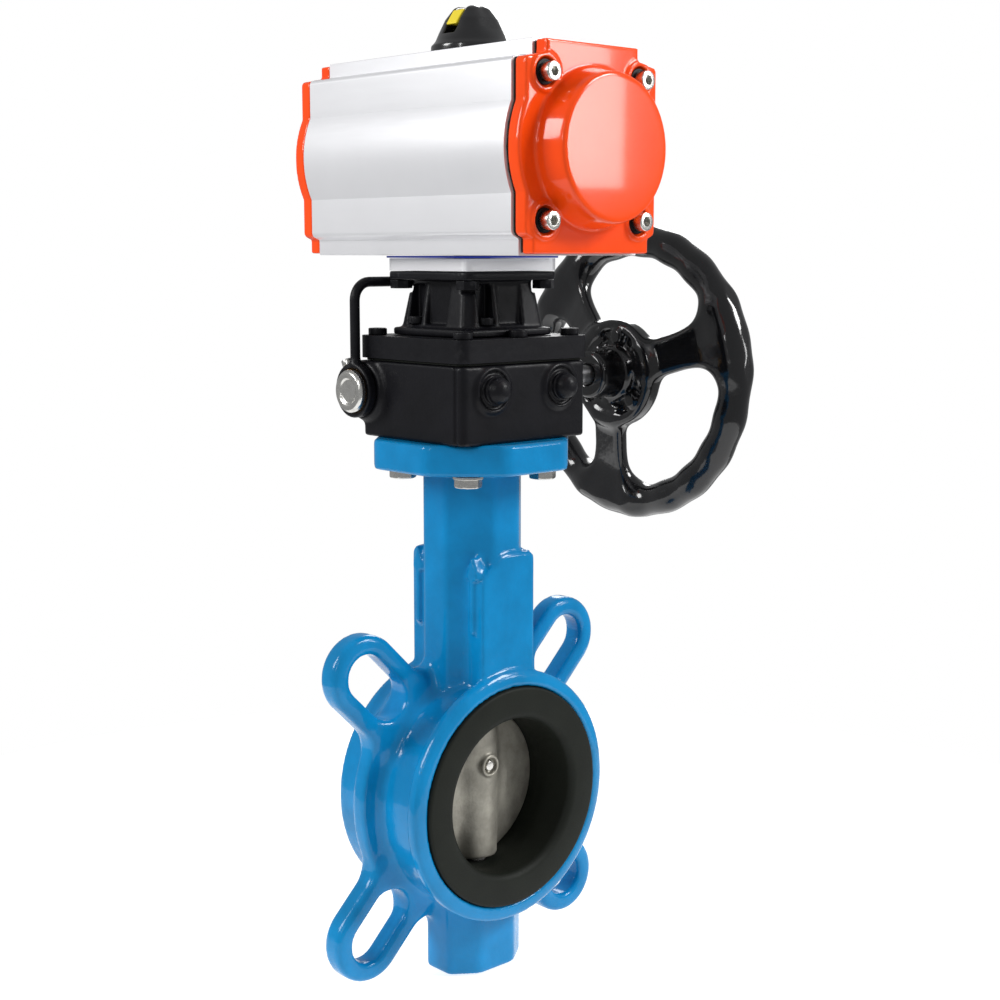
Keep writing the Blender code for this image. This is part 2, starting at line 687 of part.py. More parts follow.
def make_declutch():
    for name, side in (("front", -1), ("rear", 1)):
        span = sorted((side * BUSH_SPAN[0], side * BUSH_SPAN[1]))
        bush = cylinder("Y", (BUSH_X, 0, WORM_Z), span, BUSH_R, sides=24)
        cut(bush, cylinder("Y", (WORM_X, 0, WORM_Z), (-60, 60), SHAFT_R + GAP, sides=16))
        node(bush, "eccentric_bush_" + name, "bronze", LEVER)
    bend = LEVER_BEND_R
    corner = arc((LEVER_Y - bend, LEVER_TOP - bend), bend, 0, 90, 4)
    right = [(LEVER_Y, WORM_Z + 12)] + corner
    path = [(BUSH_X, -y, z) for y, z in right] + [(BUSH_X, y, z) for y, z in reversed(right)]
    lever = rod(path, LEVER_ROD_R)
    for side in (-1, 1):
        span = sorted((side * 44.3, side * 49.3))
        join(lever, cylinder("Y", (BUSH_X, 0, WORM_Z), span, 13.5, sides=18))
    for side in (-1, 1):
        span = sorted((side * 40, side * 55))
        cut(lever, cylinder("Y", (BUSH_X, 0, WORM_Z), span, BUSH_R + GAP, sides=24))
    node(lever, "declutch_lever", "black_paint", LEVER)
    profile = [(0, 54.5), (8.5, 54.5), (10.5, 53.5), (10.5, 50.9), (0, 50.9)]
    cap = turned("Y", (WORM_X, 0, WORM_Z), [(r, -y) for r, y in reversed(profile)], 20)
    cut(cap, cylinder("Y", (WORM_X, 0, WORM_Z), (-60, -53.6), 6.5, sides=12))
    node(cap, "worm_end_cap", "stainless", LEVER)


def make_handwheel():
    across = (WORM_X, 0, WORM_Z)
    wheel = torus("Y", (WORM_X, RIM_Y, WORM_Z), RIM_CENTRE_R, RIM_TUBE_R, 32, 8)
    for angle in SPOKE_ANGLES:
        half_in, half_out = 11.5, 12.5
        side = [(24, HUB_DISC_Y[0]), (RIM_CENTRE_R, RIM_Y - 6.5), (RIM_CENTRE_R, RIM_Y + 3),
                (24, HUB_DISC_Y[1] - 1)]
        corners = []
        for width in (-1, 1):
            for reach, y in side:
                half = half_in if reach < 30 else half_out
                corners.append(Vector((reach, y, width * half)))
        turn = Matrix.Rotation(-radians(angle), 4, "Y")
        bm = bmesh.new()
        for corner in corners:
            place = turn @ Vector((corner.x, 0, corner.z))
            bm.verts.new(Vector((WORM_X + place.x, corner.y, WORM_Z + place.z)) * MM)
        bmesh.ops.convex_hull(bm, input=bm.verts)
        join(wheel, finish_mesh("spoke", bm))
    join(wheel, cylinder("Y", across, HUB_DISC_Y, HUB_DISC_R, sides=24))
    join(wheel, cylinder("Y", across, HUB_Y, HUB_R, sides=16))
    cut(wheel, cylinder("Y", across, (100, 170), SHAFT_R + GAP, sides=16))
    node(wheel, "handwheel", "gloss_black", WORM)
    nut = hexagon_cutter("Y", across, (HUB_Y[1] + GAP * 2, HUB_Y[1] + 6.5), 13)
    cut(nut, cylinder("Y", across, (140, 160), 4.3, sides=12))
    node(nut, "handwheel_nut", "stainless", WORM)


# ---------------------------------------------------------------- spool and adapter plate

SPOOL_SCREWS = [(24.3, -13.2), (13.2, 24.3), (-24.3, 13.2), (-13.2, -24.3)]
ACTUATOR_SCREWS = four(FLANGE_BOLT, FLANGE_BOLT)


def chamfered_square(half, chamfer):
    return octagon((half, half), (half - chamfer, half - chamfer))


def make_spool():
    base = COVER_TOP + GAP
    tower_low = base + 1
    spool = extruded("Z", (base, base + SPOOL_BASE_T), rounded_box((-29, 29), (-29, 29), 5, 2))
    tower = extruded("Z", (tower_low, SPOOL_FLANGE[0] + 1), chamfered_square(1, 0.16))
    height = SPOOL_FLANGE[0] + 1 - tower_low
    for vertex in tower.data.vertices:
        up = (vertex.co.z / MM - tower_low) / height
        half = SPOOL_HALF[0] + (SPOOL_HALF[1] - SPOOL_HALF[0]) * up
        vertex.co.x *= half
        vertex.co.y *= half
    join(spool, tower)
    rim = rounded_box((-PLATE_HALF, PLATE_HALF), (-PLATE_HALF, PLATE_HALF), 4, 2)
    join(spool, extruded("Z", SPOOL_FLANGE, rim))
    groove_z = (base + SPOOL_BASE_T + 2, SPOOL_FLANGE[0] - 2)
    for quarter in range(4):
        for low, high, inner in SPOOL_POCKETS:
            pocket = block((inner, 32), (low, high), groove_z)
            pocket.data.transform(Matrix.Rotation(quarter * pi / 2, 4, "Z"))
            cut(spool, pocket)
    cut(spool, cylinder("Z", (0, 0, 0), (220, 270), 14, sides=24))
    for x, y in SPOOL_SCREWS:
        cut(spool, cylinder("Z", (x, y, 0), (220, base + 6), 2.8, sides=8))
    for x, y in ACTUATOR_SCREWS:
        cut(spool, cylinder("Z", (x, y, 0), (SPOOL_FLANGE[0] - 1, 270), 3.3, sides=8))
        cut(spool, cylinder("Z", (x, y, 0), (SPOOL_FLANGE[0] - 6, SPOOL_FLANGE[0]), 6.6, sides=16))
    node(spool, "mounting_spool", "black_paint")


def plate_with_holes(span, half, hole_r, screw_r):
    holes = [arc((0, 0), hole_r, 0, -340, 17)]
    for x, y in ACTUATOR_SCREWS:
        holes.append(arc((x, y), screw_r, 0, -315, 7))
    return extruded("Z", span, rounded_box((-half, half), (-half, half), 4, 2), *holes)


def make_adapter():
    node(plate_with_holes(ADAPTER_Z, PLATE_HALF, 16, 3.3), "adapter_plate", "anodised")
    node(plate_with_holes(GASKET_Z, PLATE_HALF + 1, 18, 3.5), "mounting_gasket", "blue_gasket")


# ---------------------------------------------------------------- actuator

def body_outline(margin=0.0, steps=6):
    """The extrusion's section in Y and Z: flat plates, side flats and the bulging barrel."""
    side = 42.5 - margin
    top = [(30 - margin, ACT_HALF_H - margin), (30 - margin, 40.5), (side - 1, 38.5), (side, 37)]
    bulge_r = 47.0 - margin
    limit = degrees_of(side / bulge_r)
    barrel = arc((0, 0), bulge_r, limit, -limit, steps)
    low = [(side, -37), (side - 1, -38.5), (38 - margin, -40), (38 - margin, margin - ACT_HALF_H)]
    right = top + barrel + low
    left = [(-y, z) for y, z in reversed(right)]
    return [(y, ACT_Z + z) for y, z in right + left]


def degrees_of(cosine):
    return atan2(sqrt(1 - cosine * cosine), cosine) * 180 / pi


def make_actuator_body():
    body = extruded("X", (-ACT_HALF_X, ACT_HALF_X), body_outline())
    join(body, block((-24, 24), (30, PORT_PAD_Y), (ACT_Z - 14, ACT_Z + 16)))
    for x in (-TRAVEL_STOP_X, TRAVEL_STOP_X):
        place = (x, 0, ACT_Z + TRAVEL_STOP_Z)
        join(body, cylinder("Y", place, (36, 47.5), 8, sides=16))
    cut(body, cylinder("X", (0, 0, ACT_Z), (-80, 80), CYLINDER_R, sides=36))
    cut(body, cylinder("Z", (0, 0, 0), (ACT_Z - 60, ACT_Z - 20), 17.3, sides=24))
    cut(body, cylinder("Z", (0, 0, 0), (ACT_Z + 20, ACT_Z + 60), 13.8, sides=24))
    for side in (-1, 1):
        for y, z in four(CAP_SCREW_Y, CAP_SCREW_Z):
            span = sorted((side * (ACT_HALF_X - 14), side * 80))
            cut(body, cylinder("X", (0, y, ACT_Z + z), span, 3.4, sides=8))
        stop = (side * TRAVEL_STOP_X, 0, ACT_Z + TRAVEL_STOP_Z)
        cut(body, cylinder("Y", stop, (25, 60), 3.9, sides=10))
        port = (side * PORT_X, 0, ACT_Z)
        cut(body, cylinder("Y", port, (PORT_PAD_Y - 7, 60), 5.5, sides=12))
    cut(body, cylinder("Y", (-PORT_X, 0, ACT_Z), (25, 45), 2.5, sides=8))
    gallery = (0, 39.2, ACT_Z + 27)
    cut(body, cylinder("X", gallery, (-80, 80), 2, sides=8))
    cut(body, rod([(PORT_X, 43.2, ACT_Z - 2), (PORT_X, 42.2, ACT_Z + 14), (PORT_X, 39.2, ACT_Z + 27)],
                  1.6, 0))
    for x, y in four(*PAD_HOLES):
        cut(body, cylinder("Z", (x, y, 0), (ACT_Z + 40, ACT_Z + 60), 2.3, sides=8))
    for x, y in ACTUATOR_SCREWS:
        cut(body, cylinder("Z", (x, y, 0), (ACT_Z - 60, ACT_Z - 32.5), 3.3, sides=8))
    node(body, "actuator_body", "anodised")


def make_end_caps():
    back, face, front = CAP_X
    wide, narrow = CAP_DOME_R
    for name, side in (("left", -1), ("right", 1)):
        cap = extruded("X", sorted((side * back, side * face)), body_outline(0.8))
        profile = [(0, front), (narrow - 3.5, front), (narrow - 1, front - 1), (narrow, front - 3.5),
                   (wide, face - 2), (0, face - 2)]
        dome = turned("X", (0, 0, ACT_Z), [(r, side * x) for r, x in profile], 30)
        join(cap, dome)
        hollow = [(0, front - 4), (narrow - 4, front - 4), (wide - 3.5, face),
                  (wide - 3.5, back - 5), (0, back - 5)]
        cut(cap, turned("X", (0, 0, ACT_Z), [(r, side * x) for r, x in hollow], 24))
        for y, z in four(CAP_SCREW_Y, CAP_SCREW_Z):
            place = (0, y, ACT_Z + z)
            cut(cap, cylinder("X", place, sorted((side * 70, side * 110)), 3.4, sides=8))
            cut(cap, cylinder("X", place, sorted((side * (face - 1.5), side * 110)), 7, sides=12))
        node(cap, "end_cap_" + name, "orange_paint")
    outline = body_outline(1.4, 4)
    holes = [[(y, ACT_Z + z) for y, z in arc((0, 0), 39.5, 0, -345, 23)]]
    for y, z in four(CAP_SCREW_Y, CAP_SCREW_Z):
        holes.append(arc((y, ACT_Z + z), 3.5, 0, -315, 7))
    for name, side in (("left", -1), ("right", 1)):
        span = sorted(side * x for x in CAP_GASKET_X)
        node(extruded("X", span, outline, *holes), "cap_gasket_" + name, "black_rubber")


def make_cap_screws():
    seat = CAP_X[1] - 1.5 + 1.8
    moves = []
    for turn in (0.0, pi):
        for y, z in four(CAP_SCREW_Y, CAP_SCREW_Z):
            spin = Matrix.Rotation(turn, 4, "Z")
            moves.append(shift(z=ACT_Z) @ spin @ shift(seat, y, z) @ AXES["X"])
    copies(socket_screw(21, 3, 5, 6), "cap_screw", "stainless", moves)


def make_pistons():
    """The right piston, and the left one as the same casting turned round."""
    pitch_line = PINION_MODULE * PINION_TEETH / 2
    head_in, head_out = PISTON_X
    profile = [(0, head_in), (PISTON_R, head_in), (PISTON_R, head_in + 2), (34.8, head_in + 2),
               (34.8, head_in + 5), (PISTON_R, head_in + 5), (PISTON_R, head_out),
               (27, head_out), (25, head_out - 5), (0, head_out - 5)]
    piston = turned("X", (0, 0, ACT_Z), profile, 30)
    rack = rack_outline((RACK_END, head_in + 1), pitch_line, PINION_MODULE, RACK_ADDENDUM,
                        PINION_MODULE + 0.4, PINION_TOOTH, RACK_BACK)
    rack_z = (ACT_Z - TOOTH_HALF_H, ACT_Z + TOOTH_HALF_H)
    join(piston, extruded("Z", rack_z, [(x, -y) for x, y in rack]))
    use_manifold_solver(piston)
    o_ring = torus("X", (head_in + 3.5, 0, ACT_Z), 36.3, 1.15, 30, 5)
    for item, name, material in ((piston, "piston_", "die_cast"),
                                 (o_ring, "piston_o_ring_", "black_rubber")):
        mesh = evaluated_mesh(item)
        bpy.data.objects.remove(item)
        left = node(guide(name, mesh), name + "left", material, PISTON_LEFT)
        left.rotation_euler.z = pi
        node(guide(name, mesh), name + "right", material, PISTON_RIGHT)


def make_pinion():
    pitch_r = PINION_MODULE * PINION_TEETH / 2
    root_r = pitch_r - RACK_ADDENDUM - 0.5
    outline = gear_outline(PINION_TEETH, PINION_MODULE, root_r, PINION_TOOTH, 90)
    teeth = extruded("Z", (ACT_Z - TOOTH_HALF_H, ACT_Z + TOOTH_HALF_H), outline)
    foot_top = ACT_Z - 26
    join(teeth, cylinder("Z", (0, 0, 0), (ACT_Z - 46.5, foot_top), PINION_FOOT_R, sides=24))
    join(teeth, cylinder("Z", (0, 0, 0), (foot_top - 1, ACT_Z - TOOTH_HALF_H + 1), 9.5, sides=20))
    join(teeth, cylinder("Z", (0, 0, 0), (ACT_Z + TOOTH_HALF_H - 1, 368.2), 9.5, sides=24))
    join(teeth, cylinder("Z", (0, 0, 0), (ACT_Z + 16, 366), PINION_TOP_R, sides=24))
    join(teeth, cylinder("Z", (0, 0, 0), (368, 371), 6, sides=16))
    half = (SLEEVE_SQUARE + 0.7) / 2
    cut(teeth, extruded("Z", (260, 285), rounded_box((-half, half), (-half, half), 1.2, 1)))
    cut(teeth, cylinder("Z", (0, 0, 0), (355, 380), 3.3, sides=12))
    node(teeth, "pinion", "steel", DRIVE)


def make_stop_cam():
    low = ACT_Z + TRAVEL_STOP_Z - 4
    high = ACT_Z + TRAVEL_STOP_Z + 4
    lobe = arc((0, 0), 21, 135, 315, 16) + arc((0, 0), 16, 315, 495, 12)
    cam = extruded("Z", (low, high), lobe, arc((0, 0), 9.8, 0, -342, 19))
    node(cam, "stop_cam", "steel", DRIVE)
    place = (0, 0, ACT_Z + TRAVEL_STOP_Z)
    bolt = cylinder("Y", place, (15.3, 60), 3.5, sides=12)
    cut(bolt, hexagon_cutter("Y", place, (57, 65), 3.4))
    moves = [shift(x=-TRAVEL_STOP_X), shift(x=TRAVEL_STOP_X)]
    copies(bolt, "travel_stop_bolt", "stainless", moves)


def make_pinion_bearings():
    foot = PINION_FOOT_R + GAP
    node(ring("Z", (0, 0, 0), (269.6, 277), 17, foot), "pinion_bearing_lower", "ptfe")
    neck = PINION_TOP_R + GAP
    node(ring("Z", (0, 0, 0), (355.5, 363.4), 13.5, neck), "pinion_bearing_upper", "ptfe")
    clip = arc((0, 0), 13.4, 30, 330, 16) + arc((0, 0), 9.8, 330, 30, 16)
    node(extruded("Z", (366.3, 367.5), clip), "pinion_circlip", "steel", DRIVE)


def make_indicator():
    outer = [(0, 388), (5.5, 387.6), (8.5, 386), (12.5, 381), (15.8, 374.5), (17.6, 370.5),
             (19.5, 368.5), (19.5, 364.4), (0, 364.4)]
    cap = turned("Z", (0, 0, 0), outer, 20)
    cut(cap, cylinder("Z", (0, 0, 0), (360, 368.4), 14.5, sides=16))
    cut(cap, cylinder("Z", (0, 0, 0), (368, 371.3), 6.3, sides=16))
    cut(cap, cylinder("Z", (0, 0, 0), (370, 375), 3.3, sides=12))
    cut(cap, block((-4, 4), (-20, 20), (374, 395)))
    node(cap, "indicator_cap", "black_paint", DRIVE)
    insert = extruded("X", (-3.7, 3.7), [(-13.6, 378), (13.6, 378), (8.6, 385.3), (-8.6, 385.3)])
    node(insert, "indicator_insert", "yellow_plastic", DRIVE)
    screw = socket_screw(14, 3, 3.6, 3.4)
    screw.location.z = 374.3 * MM
    node(screw, "indicator_screw", "stainless", DRIVE)


clear_scene()
PARTS = new_collection("pneumatic_valve_actuator")
CUTTERS = new_collection("cutters")
MATERIALS = {name: make_material(name) for name in PALETTE}
DRIVE = pivot("drive_axis", (0, 0, ACT_Z))
PISTON_LEFT = pivot("left_piston_axis", (-PISTON_X[0], 0, ACT_Z))
PISTON_RIGHT = pivot("right_piston_axis", (PISTON_X[0], 0, ACT_Z))
LEVER = pivot("declutch_axis", (BUSH_X, 0, WORM_Z))
WORM = pivot("worm_axis", (WORM_X, 0, WORM_Z))

make_valve_body()
make_seat_liner()
make_disc_and_stem()
make_stem_bearings()
make_flange_bolts()
make_housing()
make_cover()
make_stop_bolts()
make_drive_sleeve()
make_quadrant()
make_worm_shaft()
make_declutch()
make_handwheel()
make_spool()
make_adapter()
make_actuator_body()
make_end_caps()
make_cap_screws()
make_pistons()
make_pinion()
make_stop_cam()
make_pinion_bearings()
make_indicator()
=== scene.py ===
"""Looks of the pneumatic valve actuator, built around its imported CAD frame.

Cast and moulded pieces are distance fields sampled on a grid and meshed as surface nets, which
gives every inner and outer corner the radius of a real casting. Turned, extruded and bent pieces
are outlines that a Screw, Bevel or curve turns into meshes. Lengths are millimetres; MM turns
them into metres. +X is the pipe axis, +Y points to the handwheel and +Z up the stem.
"""

import json
from math import atan2, cos, pi, radians, sin, sqrt

import bmesh
import bpy
import numpy as np
from mathutils import Matrix, Vector


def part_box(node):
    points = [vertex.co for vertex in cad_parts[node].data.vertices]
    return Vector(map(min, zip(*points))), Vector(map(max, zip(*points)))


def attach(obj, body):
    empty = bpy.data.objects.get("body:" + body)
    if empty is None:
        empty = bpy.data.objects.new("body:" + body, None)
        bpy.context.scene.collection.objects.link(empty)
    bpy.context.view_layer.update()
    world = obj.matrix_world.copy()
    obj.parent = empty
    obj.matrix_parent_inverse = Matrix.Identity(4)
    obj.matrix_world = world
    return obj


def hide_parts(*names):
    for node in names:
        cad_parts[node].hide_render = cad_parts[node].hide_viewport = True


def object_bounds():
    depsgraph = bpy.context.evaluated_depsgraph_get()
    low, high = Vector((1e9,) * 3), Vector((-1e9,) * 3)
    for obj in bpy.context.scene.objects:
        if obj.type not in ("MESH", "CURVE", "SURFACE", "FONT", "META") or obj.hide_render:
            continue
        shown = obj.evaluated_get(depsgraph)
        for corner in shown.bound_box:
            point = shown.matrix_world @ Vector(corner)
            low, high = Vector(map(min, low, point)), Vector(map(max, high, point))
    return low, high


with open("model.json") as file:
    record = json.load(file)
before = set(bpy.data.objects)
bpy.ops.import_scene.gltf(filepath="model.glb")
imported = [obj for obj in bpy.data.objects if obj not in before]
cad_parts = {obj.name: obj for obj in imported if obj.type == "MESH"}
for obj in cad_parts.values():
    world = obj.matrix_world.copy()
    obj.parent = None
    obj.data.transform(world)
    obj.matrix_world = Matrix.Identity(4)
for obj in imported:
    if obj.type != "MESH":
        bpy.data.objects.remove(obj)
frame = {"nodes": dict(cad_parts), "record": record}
CAD_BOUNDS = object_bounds()

MM = 0.001
NODES = frame["nodes"]
BODY_OF = {node: body for body, nodes in frame["record"]["behaviour"]["bodies"].items()
           for node in nodes}
SLOT_OF = {row["node"]: row["material_slot"] for row in frame["record"]["subparts"]}


def corners(node):
    """Lowest and highest corner of a CAD node, in millimetres."""
    low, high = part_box(node)
    return low / MM, high / MM


def middle(node):
    low, high = corners(node)
    return (low + high) / 2


# Driving places, read from the frame
SEAT_HIGH = corners("seat_liner")[1]
DISC_LOW, DISC_HIGH = corners("valve_disc")
BODY_LOW, BODY_HIGH = corners("valve_body")
BOX_LOW, BOX_HIGH = corners("gearbox_housing")
COVER_LOW, COVER_HIGH = corners("gearbox_cover")
SPOOL_LOW, SPOOL_HIGH = corners("mounting_spool")
ACT_LOW, ACT_HIGH = corners("actuator_body")
CAP_LOW, CAP_HIGH = corners("end_cap_right")
WHEEL_LOW, WHEEL_HIGH = corners("handwheel")
WORM_X = middle("handwheel").x
WORM_Z = middle("handwheel").z
ACT_Z = middle("actuator_body").z
DISC_PIN_Z = middle("disc_pin").z
BUSH_X = middle("declutch_lever").x
STOP_Z = middle("stop_bolt_1").z

# Sizes in millimetres, the same as the CAD's: first the valve
BODY_FACE = SEAT_HIGH.x - 2
BARREL_R = 60
RIM_R = 64
WEB_R = 70
WEB_X = (-11, -2)
EAR_X = (-13, 0)
EAR_OUT = (50, 95)
EAR_HALF = 20.5
SLOT_OUT = (77, 95)
SLOT_HALF = 11
NECK_FOOT_Z = 40
NECK_HALF = (25, 25.5, 23.8)
CHEEK_HALF_Y = 17.5
CHEEK_X = (12, 27)
CHEEK_Z = (30, 123)
RIB_X = 20.6
RIB_Z = (84, 124)
FLANGE_Z = (165, 180)
FLANGE_HALF = 47.6
FOOT_Z = (-95, -45)
FOOT_HALF = (18.2, 24.7, 21.5)
SEAT_LIP = 6
SEAT_BORE_R = 39.5
SEAT_TUBE_R = 50
STEM_HOLE_R = 7.3
PIN_HOLE_R = 2.8
BOLT_HEAD = 4.4
BOLT_HOLE_R = 4.4
FLANGE_CORNERS = [(x, y) for x in (-24.75, 24.75) for y in (-24.75, 24.75)]

# Gearbox and handwheel
BOX_X = (-37, 39)
BOX_HALF_Y = 41
TUNNEL_R = 14.5
STOP_Y = 22
STOP_HOLE_R = 4.5
SLEEVE_HOLE_R = 15.3
BUSH_R = 10.5
BUSH_HOLE_R = 10.8
WORM_HOLE_R = 5.8
LEVER_ROD_R = 2.5
LEVER_BEND_R = 9
COVER_SCREWS = [(-31, -35), (-31, 35), (33, -35), (33, 35), (33, 0)]
SPOKE_ANGLES = (18, 138, 258)
RIM_CENTRE_R = 74
RIM_TUBE_R = 9.5
HUB_Y = (131, 142)
SPOKE_Y = 136.2

# Spool and actuator
SPOOL_FLANGE = 4.2
SPOOL_HALF = (27, 22.5)
WINDOW_R = 16.5
PLATE_HOLE_R = 3.3
SIDE_Y = 42.5
BULGE_R = 47.0
CYLINDER_R = 37.8
TRAVEL_STOP_X = 12
TRAVEL_STOP_Z = ACT_Z - 20
PORT_DEPTH = 7
CAP_CORNERS = [(y, z) for y in (-30, 30) for z in (-32, 32)]
CAP_PLATE = 7.2
DOME_R = (36.2, 33.1)


# ------------------------------ materials

def link(tree, source, target):
    tree.links.new(source, target)


def noise(tree, coordinates, scale, detail=3.0, stretch=(1, 1, 1)):
    """Noise over the object's own metres; stretch lengthens the grain along an axis."""
    mapping = tree.nodes.new("ShaderNodeMapping")
    mapping.inputs["Scale"].default_value = stretch
    link(tree, coordinates, mapping.inputs["Vector"])
    texture = tree.nodes.new("ShaderNodeTexNoise")
    texture.inputs["Scale"].default_value = scale
    texture.inputs["Detail"].default_value = detail
    link(tree, mapping.outputs["Vector"], texture.inputs["Vector"])
    return texture.outputs["Fac"]


def spread(tree, value, low, high, start=0.35, end=0.65):
    """Map the middle of a 0 to 1 value onto low to high."""
    node = tree.nodes.new("ShaderNodeMapRange")
    node.inputs["From Min"].default_value = start
    node.inputs["From Max"].default_value = end
    node.inputs["To Min"].default_value = low
    node.inputs["To Max"].default_value = high
    link(tree, value, node.inputs["Value"])
    return node.outputs["Result"]


def mixed(tree, factor, first, second):
    node = tree.nodes.new("ShaderNodeMix")
    node.data_type = "RGBA"
    link(tree, factor, node.inputs["Factor"])
    for socket, value in ((node.inputs["A"], first), (node.inputs["B"], second)):
        if isinstance(value, tuple):
            socket.default_value = (*value, 1)
        else:
            link(tree, value, socket)
    return node.outputs["Result"]


def surface(name, colour, rough, metallic=0.0, coat=0.0, shade=0.9, patch=60, grain=900,
            bump=0.02, lumps=0.0, stretch=(1, 1, 1), edge=None, specular=0.5):
    """A finish: patchy colour, uneven roughness, fine grain, slow lumps and rubbed edges.

    rough is the lowest and highest roughness, shade how dark the patches get, grain and patch
    the noise scales per metre, bump and lumps the heights of grain and lumps in millimetres.
    """
    material = bpy.data.materials.new(name)
    material.use_nodes = True
    tree = material.node_tree
    shader = tree.nodes["Principled BSDF"]
    shader.inputs["Metallic"].default_value = metallic
    shader.inputs["Coat Weight"].default_value = coat
    shader.inputs["Coat Roughness"].default_value = 0.04
    shader.inputs["Specular IOR Level"].default_value = specular
    place = tree.nodes.new("ShaderNodeTexCoord").outputs["Object"]
    patches = noise(tree, place, patch, 4.0)
    fine = noise(tree, place, grain, 3.0, stretch)
    dark = tuple(c * shade for c in colour)
    tint = mixed(tree, spread(tree, patches, 0, 1), colour, dark)
    if edge:
        rubbed = tree.nodes.new("ShaderNodeNewGeometry").outputs["Pointiness"]
        worn = tree.nodes.new("ShaderNodeMath")
        worn.operation = "MULTIPLY"
        link(tree, spread(tree, rubbed, 0, 1, 0.53, 0.62), worn.inputs[0])
        link(tree, spread(tree, noise(tree, place, 260, 5.0), 0, 1, 0.5, 0.62), worn.inputs[1])
        tint = mixed(tree, worn.outputs["Value"], tint, edge)
    link(tree, tint, shader.inputs["Base Color"])
    link(tree, spread(tree, fine, rough[0], rough[1], 0.3, 0.7), shader.inputs["Roughness"])
    normal = None
    for height, source in ((bump, fine), (lumps, noise(tree, place, 140, 2.0))):
        if height:
            relief = tree.nodes.new("ShaderNodeBump")
            relief.inputs["Strength"].default_value = 1.0
            relief.inputs["Distance"].default_value = height * MM
            link(tree, source, relief.inputs["Height"])
            if normal:
                link(tree, normal, relief.inputs["Normal"])
            normal = relief.outputs["Normal"]
    if normal:
        link(tree, normal, shader.inputs["Normal"])
    return material


def make_materials():
    along_x = (0.02, 1, 1)
    return {
        "blue_paint": surface("blue_paint", (0.003, 0.225, 0.51), (0.16, 0.24), coat=0.3,
                              shade=0.8, patch=45, grain=420, bump=0.03, lumps=0.4,
                              edge=(0.02, 0.29, 0.58), specular=0.12),
        "black_rubber": surface("black_rubber", (0.008, 0.010, 0.007), (0.5, 0.66), shade=0.75,
                                grain=1500, bump=0.03, specular=0.17),
        "stainless": surface("stainless", (0.66, 0.65, 0.62), (0.17, 0.3), 1.0, shade=0.85,
                             patch=200, grain=2600, bump=0.006),
        "cast_stainless": surface("cast_stainless", (0.36, 0.345, 0.295), (0.4, 0.58), 0.55,
                                  shade=0.7, patch=110, grain=900, bump=0.08, lumps=0.25),
        "bronze": surface("bronze", (0.55, 0.33, 0.13), (0.28, 0.45), 1.0, shade=0.8, patch=120,
                          grain=2200, bump=0.01),
        "ptfe": surface("ptfe", (0.72, 0.72, 0.68), (0.4, 0.52), shade=0.93, grain=1400,
                        bump=0.01),
        "black_paint": surface("black_paint", (0.007, 0.007, 0.009), (0.3, 0.44), shade=0.7,
                               patch=50, grain=1100, bump=0.035, lumps=0.2,
                               edge=(0.05, 0.05, 0.054), specular=0.15),
        "black_plastic": surface("black_plastic", (0.010, 0.010, 0.011), (0.14, 0.24), coat=0.3,
                                 shade=0.8, grain=1800, bump=0.008),
        "gloss_black": surface("gloss_black", (0.006, 0.006, 0.007), (0.12, 0.2), coat=0.4,
                               shade=0.7, patch=40, grain=700, bump=0.02, lumps=0.3,
                               edge=(0.03, 0.03, 0.032), specular=0.35),
        "steel": surface("steel", (0.42, 0.42, 0.43), (0.25, 0.42), 1.0, shade=0.8, patch=150,
                         grain=2400, bump=0.008),
        "anodised": surface("anodised", (0.79, 0.79, 0.81), (0.33, 0.37), 0.4, shade=0.97,
                            patch=25, grain=2600, bump=0.002, stretch=along_x),
        "blue_gasket": surface("blue_gasket", (0.015, 0.045, 0.5), (0.45, 0.6), shade=0.8,
                               grain=1300, bump=0.02),
        "orange_paint": surface("orange_paint", (0.97, 0.075, 0.005), (0.12, 0.16), coat=0.4,
                                shade=0.9, patch=40, grain=620, bump=0.003,
                                edge=(0.93, 0.14, 0.05), specular=0.15),
        "die_cast": surface("die_cast", (0.56, 0.56, 0.55), (0.34, 0.5), 1.0, shade=0.85,
                            patch=120, grain=1200, bump=0.04),
        "yellow_plastic": surface("yellow_plastic", (0.88, 0.70, 0.03), (0.3, 0.4), shade=0.93,
                                  grain=1500, bump=0.01),
    }


MATERIALS = make_materials()


# ------------------------------ pieces

def new_object(name, mesh):
    piece = bpy.data.objects.new(name, mesh)
    bpy.context.scene.collection.objects.link(piece)
    return piece


def stand_for(piece, node, suffix="_fine"):
    """A piece that replaces a CAD node: it takes over its body, slot and material."""
    piece.name = node + suffix
    dress(piece, SLOT_OF[node])
    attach(piece, BODY_OF[node])
    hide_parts(node)
    return piece


def extra(piece, name, slot, body):
    """A small piece that the CAD leaves out."""
    piece.name = name
    dress(piece, slot)
    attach(piece, body)
    return piece


def dress(piece, slot):
    piece.data.materials.clear()
    piece.data.materials.append(MATERIALS[slot])


def copied(piece, matrix):
    """Another object with the same mesh."""
    twin = new_object(piece.name, piece.data)
    twin.matrix_world = matrix
    return twin


def evaluated(piece):
    """The object's mesh with its modifiers applied; the object is removed."""
    bpy.context.view_layer.update()
    view = piece.evaluated_get(bpy.context.evaluated_depsgraph_get())
    mesh = bpy.data.meshes.new_from_object(view)
    mesh.transform(piece.matrix_world)
    bpy.data.objects.remove(piece)
    return mesh


# ------------------------------ distance fields

def grid(low, high, step):
    margin = 3 * step
    lines = [np.arange(a - margin, b + margin, step, dtype=np.float32)
             for a, b in zip(low, high)]
    return np.meshgrid(*lines, indexing="ij", sparse=True)


def span(value, low, high):
    return np.abs(value - (low + high) / 2) - (high - low) / 2


